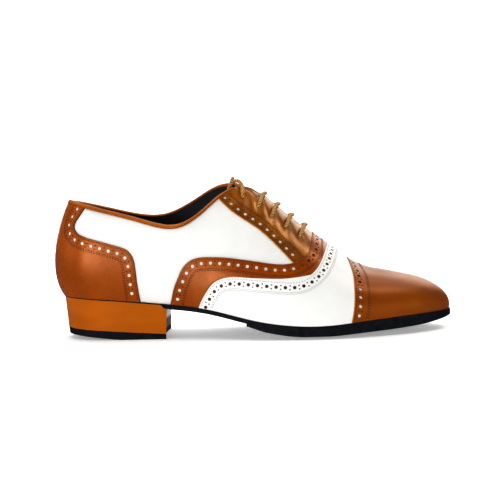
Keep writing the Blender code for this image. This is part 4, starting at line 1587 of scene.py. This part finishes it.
# %% Cut the decorated edges
BAND_ROW = (4.4, 5.2, 308.2, 46)  # inset, first and last hole along the row, count
VAMP_ROW = (4.8, 2.8, 288.2, 44)
CAP_ROW = (4.6, 5.4, 127.9, 20)
COUNTER_ROW = (5.0, 4.0, 96.9, 15)
FACING_ROW = (4.2, 3.1, 68.8, 11)
BAND_OVER_FACINGS = (16, 30)
CAP_OVER_FOLD = (4, 16)
cut_holes(band, hole_row(band_edge, RidgeMap, vamp_edge, BAND_TOP, *BAND_ROW, dark=BAND_OVER_FACINGS))
cut_holes(vamp, hole_row(vamp_edge, RidgeMap, cap_edge, VAMP_TOP, *VAMP_ROW))
cut_holes(toe_cap, hole_row(cap_edge, RidgeMap, cap_toward, CAP_TOP, *CAP_ROW, dark=CAP_OVER_FOLD))
cut_holes(counter, sum((hole_row(counter_edges[k], HeelMap, counter_edges[1 - k], COUNTER_TOP, *COUNTER_ROW)
                        for k in (0, 1)), []))
print("holes in band, vamp, cap and counter:", BAND_ROW[-1], VAMP_ROW[-1], CAP_ROW[-1], 2 * COUNTER_ROW[-1])

# %% Cut the facings and their eyelets
EYELET_RADIUS = 1.45
EYELET_SIDES = 20
EYELET_FLOOR = -3.0
for item, edge, side in ((facing_outer, facing_edge_outer, -1), (facing_inner, facing_edge_inner, 1)):
    x, g = np.array(EYELETS).T
    eyelets = punch_points(side_w(x, side), g, EYELET_RADIUS, EYELET_SIDES, EYELET_FLOOR, PUNCH_TOP)
    rows = hole_row(edge, RidgeMap, facing_toward(edge, side), FACING_TOP, *FACING_ROW)
    cut_holes(item, rows + [(*eyelets, SHADED_WALL_SLOT)])
print("faces after punching:", [(item.name, len(item.data.polygons)) for item, *_ in PANELS])

# %% [markdown]
# ## Stitches
#
# Every panel is held by a row of short stitches close to its edge, and the holes are framed by a double row
# further in. A texture could paint them, but real thread lies proud and catches light, so each stitch is
# a small capsule that dips into the leather at both ends. All the stitches of one colour are one mesh.

# %% Thread
STITCH_PITCH = 2.0
STITCH_LENGTH = 1.4
STITCH_RADIUS = 0.28
STITCH_SIDES = 6
STITCH_RINGS = (  # place along the stitch, share of its radius, height
    (-0.5, 0.25, -0.16), (-0.34, 0.85, -0.02), (0.0, 1.0, 0.06), (0.34, 0.85, -0.02), (0.5, 0.25, -0.16),
)
STITCH_ENDS = (-STITCH_LENGTH / 2, STITCH_LENGTH / 2)


def capsules(ends, normal):
    """One short thread for each pair of ends: points and faces."""
    centre = (ends[0] + ends[1]) / 2
    along = ends[1] - ends[0]
    length = np.linalg.norm(along, axis=1, keepdims=True)
    along = along / length
    ring = circles(np.cross(normal, along), normal, STITCH_SIDES)
    rings = []
    for way_along, width, dip in STITCH_RINGS:
        core = centre + along * length * way_along + normal * dip
        rings.append(core[:, None] + ring * STITCH_RADIUS * width)
    points = np.stack(rings, axis=1).reshape(-1, 3)
    faces = []
    for k in range(len(centre)):
        faces += ring_faces(len(STITCH_RINGS), STITCH_SIDES, k * len(STITCH_RINGS) * STITCH_SIDES)
    return points, faces


print("faces of one stitch:", len(ring_faces(len(STITCH_RINGS), STITCH_SIDES)))

# %% Stitches between sole and binding
STITCH_FLOOR = 0.015
BINDING_CLEAR = 0.6
stitch_limit = limit_table(BINDING_HEIGHT + BINDING_CLEAR)


def stitch_points(line, way, lift, shape):
    """Stitches along a line beside an edge, between the sole and the binding."""
    at = np.arange(STITCH_PITCH / 2, line_length(line, way), STITCH_PITCH)
    w, g = along_line(line, way, at)
    seen = (g > STITCH_FLOOR) & (g < stitch_limit(w))
    end_places = [along_line(line, way, at[seen] + d) for d in STITCH_ENDS]
    ends = [offset_surface(*place, lift + shape(*place)) for place in end_places]
    return capsules(ends, last_normal(w[seen], g[seen]))


def flat_leather(w, g):
    """Leather without puckers adds no height anywhere."""
    return np.zeros(np.shape(w + g))


def edge_stitches(edge, way, toward, lift, insets, shape=flat_leather):
    """Rows of stitches at some insets from an edge."""
    return [stitch_points(beside(edge, way, inset, toward), way, lift, shape) for inset in insets]


print("highest stitch at the heel back is at g", round(float(stitch_limit(0.0)), 3))

# %% Rows beside the edges
EDGE_STITCH = 1.4
INNER_STITCHES = (8.3, 9.4)
CAP_STITCHES = (10.4, 11.6)
FACING_STITCHES = (8.4, 9.5)
brown_rows = edge_stitches(band_edge, RidgeMap, vamp_edge, BAND_TOP, (EDGE_STITCH, *INNER_STITCHES))
brown_rows += edge_stitches(cap_edge, RidgeMap, cap_toward, CAP_TOP, (EDGE_STITCH, *CAP_STITCHES))
for k in (0, 1):
    brown_rows += edge_stitches(counter_edges[k], HeelMap, counter_edges[1 - k], COUNTER_TOP,
                                (EDGE_STITCH, *INNER_STITCHES))
for edge, side in ((facing_edge_outer, -1), (facing_edge_inner, 1)):
    brown_rows += edge_stitches(edge, RidgeMap, facing_toward(edge, side), FACING_TOP,
                                (EDGE_STITCH, *FACING_STITCHES), pucker)
pale_rows = edge_stitches(vamp_edge, RidgeMap, cap_edge, VAMP_TOP, (EDGE_STITCH, *INNER_STITCHES))
brown_stitches = dress(add_mesh("brown_stitches", *join_parts(brown_rows)), "tan_leather", [], brown_thread)
pale_stitches = dress(add_mesh("pale_stitches", *join_parts(pale_rows)), "white_leather", [], pale_thread)
print("stitch faces:", len(brown_stitches.data.polygons), len(pale_stitches.data.polygons))

# %% [markdown]
# ## Collar binding
#
# The raw top edges of quarter and lining are closed by a folded strip of tan leather. Its colour is a lighter
# copy of the tan, painted light because its fold faces up. A bevelled curve could follow the collar, but it
# would turn freely.
# So it is a loft: one round profile carried along the collar, square to the last at every station, from
# the throat round the heel and back to the throat.

# %% Binding
BINDING_END = 135.0
BINDING_STEP = 1.5
CLIMB = 0.01
BINDING_PROFILE = (
    (1.10, -0.3), (1.42, 0.6), (1.50, 1.6), (1.25, 2.5), (0.45, 3.3), (-0.65, 3.55), (-1.7, 3.4),
    (-2.4, 3.05), (-2.65, 2.5), (-2.5, 2.0), (-1.5, 1.7),
)


def collar_frames(end):
    """Place, outward and upward direction at stations along the top edge of the upper."""
    outer_w, inner_w = paired_stations(HEEL_POLE, end, toe_fan=False, step=BINDING_STEP)
    stations = [(w, -1) for w in outer_w[::-1]] + [(w, 1) for w in inner_w[1:]]
    w = np.array([at for at, _ in stations])
    g = np.array([top_limit(at, side, BINDING_HEIGHT, 0.0) for at, side in stations])
    up = last_surface(w, np.minimum(g + CLIMB, 1.0)) - last_surface(w, g - CLIMB)
    return last_surface(w, g), last_normal(w, g), unit(up)


collar_spot, collar_out, collar_up = collar_frames(BINDING_END)
profile = np.array(BINDING_PROFILE)
binding_rings = (collar_spot[:, None] + collar_out[:, None] * profile[None, :, :1]
                 + collar_up[:, None] * profile[None, :, 1:])
binding = add_mesh("collar_binding_leather", binding_rings.reshape(-1, 3),
                   ring_faces(len(collar_spot), len(profile)))
dress(binding, "tan_leather", ["collar_binding"], binding_tan_painted_light)
smooth_binding = binding.modifiers.new("Soft fold", "SUBSURF")
smooth_binding.levels = 1
smooth_binding.render_levels = 1
print("binding stations:", len(collar_spot), "length, mm:", round(float(run_along(collar_spot)[-1]), 1))

# %% [markdown]
# ## Stitches of the binding
#
# One row of thread holds the folded strip, just above its lower edge. The binding has its own stations
# along the collar, so its stitches are set on them and not on a line of the last.

# %% Binding stitches
SEAM_PLACE = (1.36, 0.55)  # out and up from the collar line, on the binding's lower face
collar_seam = collar_spot + SEAM_PLACE[0] * collar_out + SEAM_PLACE[1] * collar_up
seam_run = run_along(collar_seam)


def on_seam(values, at):
    """Values of the stations, read off between them."""
    return np.stack([np.interp(at, seam_run, values[:, k]) for k in range(3)], axis=1)


seam_at = np.arange(STITCH_PITCH, seam_run[-1] - STITCH_PITCH, STITCH_PITCH)
binding_row = capsules([on_seam(collar_seam, seam_at + d) for d in STITCH_ENDS], on_seam(collar_out, seam_at))
binding_stitches = dress(add_mesh("binding_stitches", *binding_row), "tan_leather", [], brown_thread)
print("binding stitches:", len(seam_at), "faces:", len(binding_stitches.data.polygons))

# %% [markdown]
# ## Tongue and sock
#
# The tongue closes the throat under the lace and the sock lines the floor of the shoe. Both are flat
# pieces that follow a neighbour: the tongue the underside of the facings, the sock the top of the sole.
# A Bevel modifier softens their cut edges, and Weighted Normal keeps the flat faces flat. Rounding the
# edges by hand, as on the panels, would cost many more rows for edges that hardly show.

# %% Tongue
SOFT_ANGLE = math.radians(40.0)
SOFT_STEPS = 3


def soften(item, width, slot=-1):
    """Round the hard edges of a solid."""
    bevel = item.modifiers.new("Softened edges", "BEVEL")
    bevel.width = width * MM
    bevel.segments = SOFT_STEPS
    bevel.limit_method = "ANGLE"
    bevel.angle_limit = SOFT_ANGLE
    bevel.material = slot
    item.modifiers.new("Even shading", "WEIGHTED_NORMAL").keep_sharp = False
    return item


TONGUE_START = 135.0
TONGUE_END = 200.0
TONGUE_NARROW_X = 190.0
TONGUE_REACH = (0.46, 0.36)
TONGUE_GRID = (40, 33)
TONGUE_LIFT = -2.9
TONGUE_THICK = 1.6
CUT_SOFT = 0.5
tongue_x = np.linspace(TONGUE_START, TONGUE_END, TONGUE_GRID[0])
tongue_u = np.linspace(-1, 1, TONGUE_GRID[1])
reach = np.where(tongue_x < TONGUE_NARROW_X, *TONGUE_REACH)
tongue_places = RidgeMap.place(np.repeat(tongue_x[:, None], len(tongue_u), axis=1),
                               reach[:, None] * tongue_u[None, :])
tongue_faces = [offset_surface(*tongue_places, np.full(tongue_places[1].shape, lift))
                for lift in (TONGUE_LIFT, TONGUE_LIFT - TONGUE_THICK)]
tongue = dress(closed_grid("tongue_leather", *tongue_faces), "tan_leather", ["tongue"], tan)
soften(tongue, CUT_SOFT)
print("tongue faces:", len(tongue.data.polygons))

# %% Sock
ACROSS = np.sin(np.linspace(-math.pi / 2, math.pi / 2, 19))
NO_WIDTH = 1e-6


def grown_outline(w, margin):
    """The feather line moved outward by a margin."""
    step = unit(outline(w + NEAR) - outline(w - NEAR))
    out = np.stack([step[..., 1], -step[..., 0]], -1)
    return outline(w) + np.broadcast_to(margin, np.shape(w))[..., None] * out


def plan_grid(outer_w, inner_w, margin):
    """Points across the shoe, from outline to outline, without heights."""
    share = ((ACROSS + 1) / 2)[None, :, None]
    outer, inner = [grown_outline(w, margin)[:, None] for w in (outer_w, inner_w)]
    return outer * (1 - share) + inner * share


def seat_height(plan):
    """The feather height under any point, straight across from edge to edge."""
    left = feather_height(plan[:, 0, 0], plan[:, 0, 1])
    right = feather_height(plan[:, -1, 0], plan[:, -1, 1])
    width = plan[:, -1, 1] - plan[:, 0, 1]
    share = (plan[..., 1] - plan[:, :1, 1]) / np.where(width < NO_WIDTH, 1, width)[:, None]
    return left[:, None] * (1 - share) + right[:, None] * share


def with_height(plan, height):
    """Points of a plan with their heights."""
    return np.concatenate([plan, height[..., None]], axis=-1)


SOCK_MARGIN = -2.2
SOCK_LEVELS = (2.5, 0.2)  # top and bottom above the seat
sock_plan = plan_grid(*paired_stations(HEEL_POLE, TOE_POLE), SOCK_MARGIN)
sock_seat = seat_height(sock_plan)
sock = closed_grid("sock_cloth", *[with_height(sock_plan, sock_seat + level) for level in SOCK_LEVELS])
dress(soften(sock, CUT_SOFT), "lining", ["insole"], lining)
print("sock faces:", len(sock.data.polygons))

# %% [markdown]
# ## Sole
#
# The sole is two thin layers. The outsole runs from under the heel to the toe and stands a little proud of
# the upper, and a half sole of suede is stuck under the forefoot, on which the foot turns. Its edge rises
# so that the foot can roll. A flat outline could be extruded, but both layers follow the bent feather line,
# so they are grids across the shoe with softened edges, black on the edge and napped suede below.

# %% Outsole
GAP = 0.3
TAIL_X = 62.0
MARGIN_MARKS = ((80.5, 83.0, 225.0, 293.0), (-2.0, 1.6, 1.6, 3.6))
THICKNESS_MARKS = ((TAIL_X, 88.0, 150.0, 250.0, 296.0), (0.8, 3.2, 3.2, 3.0, 2.4))
SOLE_DROP = 0.1
SOLE_SOFT = 0.45


def sole_margin(w):
    """The sole hides inside the heel's rim, stands a little proud in front of it and more at the toe."""
    return np.interp(outline(w)[:, 0], *MARGIN_MARKS)


def sole_thickness(x):
    """The sole is thick at the ball and thins toward its tail and its toe."""
    return np.interp(x, *THICKNESS_MARKS)


stations = paired_stations(TAIL_X, TOE_POLE, heel_fan=False)
plan = plan_grid(*stations, sole_margin(stations[0]))
seat = seat_height(plan)
outsole = closed_grid("outsole_layer", with_height(plan, seat - SOLE_DROP),
                      with_height(plan, seat - GAP - sole_thickness(plan[..., 0])))
dress(soften(outsole, SOLE_SOFT), "sole", ["outsole"], edge_black)
print("outsole faces:", len(outsole.data.polygons))

# %% Half sole
STEP_X = 143.0
FLAT_TREAD = (183.0, 205.0)
ROLL_START = 0.55
ROLL_POWER = 1.8
SOLE_OVERLAP = 0.05
LEAST_EDGE = 0.6
FACES_DOWN = -0.8
BOTTOM_ROWS = (  # x, height of the tread, rise of its edge
    (143.0, 8.4, 1.6),
    (148.0, 6.6, 1.7),
    (155.0, 4.4, 1.6),
    (164.0, 2.4, 1.8),
    (174.0, 0.8, 1.9),
    (184.0, 0.0, 2.0),
    (204.0, 0.0, 2.0),
    (216.0, 0.8, 1.9),
    (230.0, 1.8, 1.8),
    (245.0, 2.6, 1.7),
    (261.0, 3.6, 1.6),
    (275.0, 4.8, 1.6),
    (285.0, 6.2, 1.6),
    (292.0, 7.8, 1.4),
    (297.0, 9.4, 1.0),
)
tread_z, tread_rise = columns_of(BOTTOM_ROWS)


def suede_below(item):
    """Give the faces that look down the second finish."""
    below = [1 if face.normal.z < FACES_DOWN else 0 for face in item.data.polygons]
    item.data.polygons.foreach_set("material_index", below)


stations = paired_stations(STEP_X, TOE_POLE, heel_fan=False)
plan = plan_grid(*stations, sole_margin(stations[0]))
x = plan[..., 0]
top = seat_height(plan) - GAP - sole_thickness(x) + SOLE_OVERLAP
roll = np.clip((np.abs(ACROSS) - ROLL_START) / (1 - ROLL_START), 0, 1) ** ROLL_POWER
flat = np.where((x > FLAT_TREAD[0]) & (x < FLAT_TREAD[1]), 0.0, tread_z(x))
tread = np.minimum(np.maximum(flat, 0.0) + tread_rise(x) * roll, top - LEAST_EDGE)
half_sole = closed_grid("half_sole_layer", with_height(plan, top), with_height(plan, tread))
dress(half_sole, "sole", ["forefoot_sole"], edge_black, suede)
suede_below(half_sole)
soften(half_sole, CUT_SOFT)
print("half sole faces:", len(half_sole.data.polygons), "thickness at the ball, mm:",
      round(float((top - tread)[np.argmin(np.abs(x[:, 0] - BALL_X)), len(ACROSS) // 2]), 1))

# %% [markdown]
# ## Heel
#
# The heel is a low stacked block covered in tan leather and hollowed a little at the breast, its front
# face, which is brown below and pale above; the pale is a painted reflection. A cube could be bent to it,
# but it is lofted between its seat and its foot like the frame's solid, with more stations. A narrow rim
# reaches up past the tail of the sole to the upper, and the softened edges get the light raw-edge colour,
# a painted highlight along the folded edge. A thin dark cord lies along the join of heel and upper. The
# black lift below is flat in front and rises towards the back.

# %% Finish of the breast, with a painted reflection
BREAST_STRETCH = (1.0, 1.0, 40.0)
# brown leather below; the pale stop above is a painted reflection on the breast
BREAST_REFLECTION_STOPS = ((0.40, (0.20, 0.11, 0.07)), (0.52, (0.93, 0.92, 0.88)))
breast_brown_and_reflection, _ = new_finish("breast_calf")
breast_reflection_height = add_node(breast_brown_and_reflection, "ShaderNodeSeparateXYZ", vector=spot_on(breast_brown_and_reflection, BREAST_STRETCH))
breast_noise = noise_on(breast_brown_and_reflection, spot_on(breast_brown_and_reflection), 300.0)
wire(breast_brown_and_reflection, base_color=ramp_on(breast_brown_and_reflection, breast_reflection_height.outputs["Z"], *BREAST_REFLECTION_STOPS),
     roughness=spread_on(breast_brown_and_reflection, breast_noise, 0.4, 0.6),
     normal=bump_on(breast_brown_and_reflection, breast_noise, 0.00004))
print("the breast turns pale at a height of mm:", round(BREAST_REFLECTION_STOPS[1][0] / BREAST_STRETCH[2] / MM, 1))

# %% Heel block
HEEL_MARGIN = 0.6
HEEL_BACK = 9.0
BREAST_X = 84.8
BREAST_HOLLOW = 2.0
BREAST_FACING = 0.6
BREAST_LEAN = -1.1
SHIFT_MARKS = (8.0, 40.0, BREAST_X)
RIM_START = 0.95
RIM_END = 81.0
RIM_DROP = 0.05
TAIL_STATIONS = (TAIL_X - 0.6, TAIL_X - 0.4)  # the sole's tail ends between these
FOOT_MARGIN = HEEL_MARGIN - 1.2
FOOT_SHIFT = 0.8
LIFT_HEIGHT = (8.6, 3.8)
LIFT_GAP = 0.02


def heel_level(outer_w, inner_w, margin, back_shift):
    """One level of the heel: below the seat, its back moves forward and its breast moves back."""
    plan = plan_grid(outer_w, inner_w, margin)
    lean = BREAST_LEAN if back_shift else 0.0
    plan[..., 0] += np.interp(plan[..., 0], SHIFT_MARKS, (back_shift, 0.0, lean))
    plan[-1, :, 0] -= BREAST_HOLLOW * (1 - ACROSS ** 2)
    return plan


back = paired_stations(HEEL_POLE, TAIL_STATIONS[0], toe_fan=False)
front = paired_stations(TAIL_STATIONS[1], BREAST_X, heel_fan=False, toe_fan=False)
heel_stations = [np.concatenate(pair) for pair in zip(back, front)]
top_plan = heel_level(*heel_stations, HEEL_MARGIN, 0.0)
seat = seat_height(top_plan)
under_tail = (np.arange(len(heel_stations[0])) >= len(back[0]))[:, None]
rim = (np.abs(ACROSS) > RIM_START)[None, :] & (top_plan[..., 0] < RIM_END)
top_z = np.where(under_tail & ~rim, seat - sole_thickness(top_plan[..., 0]) - GAP, seat - RIM_DROP)
foot_plan = heel_level(*heel_stations, FOOT_MARGIN, FOOT_SHIFT)
lift_z = np.interp(foot_plan[..., 0], (HEEL_BACK, BREAST_X), LIFT_HEIGHT)
heel = closed_grid("heel_cover_leather", with_height(top_plan, top_z),
                   with_height(foot_plan, lift_z + LIFT_GAP))
for face in heel.data.polygons:
    if face.normal.x > BREAST_FACING:
        face.material_index = 2
dress(heel, "heel_leather", ["heel_block"], heel_tan, raw_edge_and_highlight, breast_brown_and_reflection)
# the softened edges take the light raw-edge colour: a painted highlight along the folded edge
soften(heel, CUT_SOFT, slot=1)
print("heel faces:", len(heel.data.polygons))

# %% Seam cord and lift
SEAM_RADIUS = 0.5
SEAM_SIDES = 8
SEAM_OUT = 0.25
SEAM_DROP = 0.4
TREAD_MARGIN = HEEL_MARGIN - 1.6
TREAD_SHIFT = 1.0
LIFT_BEVEL = 4.0
LIFT_FLAT_X = 50.0
LIFT_SOFT = 0.4


def seam_rings(path):
    """Rings of a plain thin cord along a nearly level path."""
    up = np.zeros(path.shape) + (0.0, 0.0, 1.0)
    side = unit(np.cross(np.gradient(path, axis=0), up))
    return (path[:, None] + SEAM_RADIUS * circles(side, up, SEAM_SIDES)).reshape(-1, 3)


seam_plan = with_height(heel_level(*heel_stations, HEEL_MARGIN + SEAM_OUT, 0.0), seat - SEAM_DROP)
seam_path = np.concatenate([seam_plan[:0:-1, 0], seam_plan[:, -1]])
# a thin dark cord along the join of heel and upper
seam = add_mesh("heel_seat_seam", seam_rings(seam_path), ring_faces(len(seam_path), SEAM_SIDES))
dress(seam, "sole", [], edge_black)

tread_plan = heel_level(*heel_stations, TREAD_MARGIN, TREAD_SHIFT)
tread = np.interp(tread_plan[..., 0], (HEEL_BACK, LIFT_FLAT_X), (LIFT_BEVEL, 0.0))
lift = closed_grid("heel_lift_rubber", with_height(foot_plan, lift_z), with_height(tread_plan, tread))
dress(soften(lift, LIFT_SOFT), "sole", ["heel_lift"], edge_black)
print("seam cord, mm:", round(float(run_along(seam_path)[-1]), 1), "lift faces:", len(lift.data.polygons))

# %% [markdown]
# ## Lace bars
#
# Below the tie the lace crosses the throat in four straight bars. Each comes up through an eyelet, lies
# over both facings and goes down through the eyelet opposite. A few marks say how high the cord rides
# above the last along the way, and the same twisted loft turns them into cord. At the inner top eyelet
# only the short end that holds the lace is seen.

# %% Four bars
BAR_MARKS = (  # share of the way to the eyelet, height over the last
    (1.0, -2.2), (0.985, 0.0), (0.93, 1.65), (0.8, 2.3), (0.45, 2.6), (0.0, 2.85),
)
BAR_FORWARD = (4.2, 4.6, 4.4, 4.0)


def bar_route(x, g, forward):
    """From the outer eyelet over the throat to the inner one, a little further forward in the middle."""
    halves = []
    for side in (-1, 1):
        halves.append([offset_surface(side_w(x + forward * (1 - share), side), 1 - (1 - g) * share, height)
                       for share, height in BAR_MARKS])
    return np.array(halves[0] + halves[1][-2::-1])


for number, ((x, g), forward) in enumerate(zip(EYELETS[1:], BAR_FORWARD), start=1):
    bar_path = smooth_path(bar_route(x, g, forward), LACE_SPACING)
    bar = lace_cord("lace_bar_%d_cord" % number, bar_path)
    dress(bar, "lace", ["lace_bar_%d" % number], lace_wax, lace_groove)
    print("bar", number, "length, mm:", round(float(run_along(bar_path)[-1]), 1))

# %% Inner end
INNER_END_MARKS = ((0.0, -3.0), (0.0, 0.0), (0.01, 1.4), (0.06, 2.0))  # way up past the eyelet, height
end_x, end_g = EYELETS[0]
inner_route = [offset_surface(side_w(end_x, 1), end_g + more, height) for more, height in INNER_END_MARKS]
inner_path = smooth_path(inner_route, LACE_SPACING)
lace_inner = lace_cord("lace_inner_end_cord", inner_path, round_end=True)
dress(lace_inner, "lace", [], lace_wax, lace_groove)
print("inner end, mm:", round(float(run_along(inner_path)[-1]), 1))

# %% [markdown]
# ## Floor and background
#
# The picture was taken like a catalogue page, on a bright sweep of paper. A flat floor would end in a
# horizon line, so a curved sheet runs from the floor up into the background. It glows a little, as a light
# table does, which keeps the shadow under the shoe light, and the polished leather doesn't mirror it.

# %% Paper sweep
SWEEP_HALF = 3.0
SWEEP_FRONT = -2.6
SWEEP_BACK = 1.2
SWEEP_RADIUS = 0.6
SWEEP_TOP = 3.0
SWEEP_STEPS = 16
PAPER_SCALE = 8.0
TABLE_GLOW = 0.32


def add_sweep():
    """A paper sweep: flat floor, a quarter round and an upright back."""
    turn = np.linspace(0, math.pi / 2, SWEEP_STEPS)
    profile = [(SWEEP_FRONT, 0.0)]
    profile += [(SWEEP_BACK + SWEEP_RADIUS * math.sin(a), SWEEP_RADIUS * (1 - math.cos(a))) for a in turn]
    profile.append((SWEEP_BACK + SWEEP_RADIUS, SWEEP_TOP))
    points = [(x, y, z) for x in (-SWEEP_HALF, SWEEP_HALF) for y, z in profile]
    n = len(profile)
    mesh = bpy.data.meshes.new("paper_sweep")
    mesh.from_pydata(points, [], [(i, i + 1, n + i + 1, n + i) for i in range(n - 1)])
    mesh.shade_smooth()
    item = bpy.data.objects.new("paper_sweep", mesh)
    bpy.context.scene.collection.objects.link(item)
    white_paper = plain_finish("white_paper", (0.90, 0.90, 0.90), (0.93, 0.93, 0.93), PAPER_SCALE, (0.8, 0.9))
    item.data.materials.append(white_paper)
    paper = white_paper.node_tree.nodes["Principled BSDF"]
    paper.inputs["Emission Color"].default_value = (1.0, 1.0, 1.0, 1.0)
    paper.inputs["Emission Strength"].default_value = TABLE_GLOW
    item.visible_glossy = False
    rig.stage(item)
    return item


sweep = add_sweep()
print("paper sweep, m:", [round(side, 2) for side in sweep.dimensions])

# %% [markdown]
# ## Lamps
#
# Large soft lamps light the shoe from all sides, and each has a job. The key draws the long shine on counter
# and band, the rim lamp the shine on the cap, and the throat lamp the gold of the facings. Fills open the
# shadows, and one lamp whitens the background. Sunlight would be simpler, but gives small hard glints.
# The view's gamma is lowered a little, because the picture has strong contrast.


# %% Softboxes and world
def add_lamp(name, spot, aim, size, power, colour=(1.0, 1.0, 1.0)):
    """A rectangular softbox on a spot, aimed at another; size and spots in metres."""
    light = bpy.data.lights.new(name, "AREA")
    light.shape = "RECTANGLE"
    light.size, light.size_y = size
    light.energy = power
    light.color = colour
    lamp = bpy.data.objects.new(name, light)
    lamp.location = spot
    lamp.rotation_euler = (Vector(aim) - Vector(spot)).to_track_quat("-Z", "Y").to_euler()
    lamp.visible_camera = False
    bpy.context.scene.collection.objects.link(lamp)
    return lamp


WARM = (1.0, 0.94, 0.82)
WORLD_STRENGTH = 0.18
VIEW_GAMMA = 0.8
add_lamp("key_softbox", (-0.49, -0.97, 0.10), (-0.03, 0.0, 0.05), (0.5, 0.18), 5.0)
add_lamp("top_softbox", (-0.15, -0.1, 1.1), (0.0, 0.0, 0.05), (1.0, 0.6), 5.6)
add_lamp("rim_softbox", (0.51, 0.66, 0.57), (0.10, 0.0, 0.04), (0.5, 0.4), 2.2, WARM)
add_lamp("throat_softbox", (0.62, -0.02, 0.88), (0.02, 0.0, 0.08), (0.2, 0.2), 1.9, WARM)
add_lamp("right_fill", (0.9, -0.7, 0.24), (0.0, 0.0, 0.02), (0.8, 0.4), 1.8)
add_lamp("left_fill", (-1.05, -0.45, 0.35), (-0.08, 0.0, 0.04), (0.6, 0.6), 1.8)
add_lamp("low_back_fill", (-0.05, 0.95, 0.14), (0.0, 0.0, 0.0), (1.2, 0.2), 3.0)
add_lamp("high_back_fill", (0.15, 1.0, 0.45), (0.05, 0.0, 0.06), (1.2, 0.5), 1.6)
add_lamp("backdrop_lamp", (0.0, 0.7, 1.7), (0.0, 1.8, 0.7), (2.4, 0.5), 30.0)
world = bpy.data.worlds.new("studio")
bpy.context.scene.world = world
world.use_nodes = True
background = world.node_tree.nodes["Background"]
background.inputs["Color"].default_value = (1.0, 1.0, 1.0, 1.0)
background.inputs["Strength"].default_value = WORLD_STRENGTH
bpy.context.scene.view_settings.view_transform = "Standard"
bpy.context.scene.view_settings.gamma = VIEW_GAMMA
print("lamps:", [o.name for o in bpy.data.objects if o.type == "LIGHT"])

# The dressed shoe's box could be compared by eye, but numbers are surer, so both boxes are written down
# side by side.

new_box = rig.bounds()
print("box of the dressed shoe in mm:", [round(1000 * side, 1) for side in new_box[1] - new_box[0]])
with open("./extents.json", "w") as size_file:
    json.dump({"cad": [list(corner) for corner in cad_box], "visual": [list(corner) for corner in new_box]}, size_file)
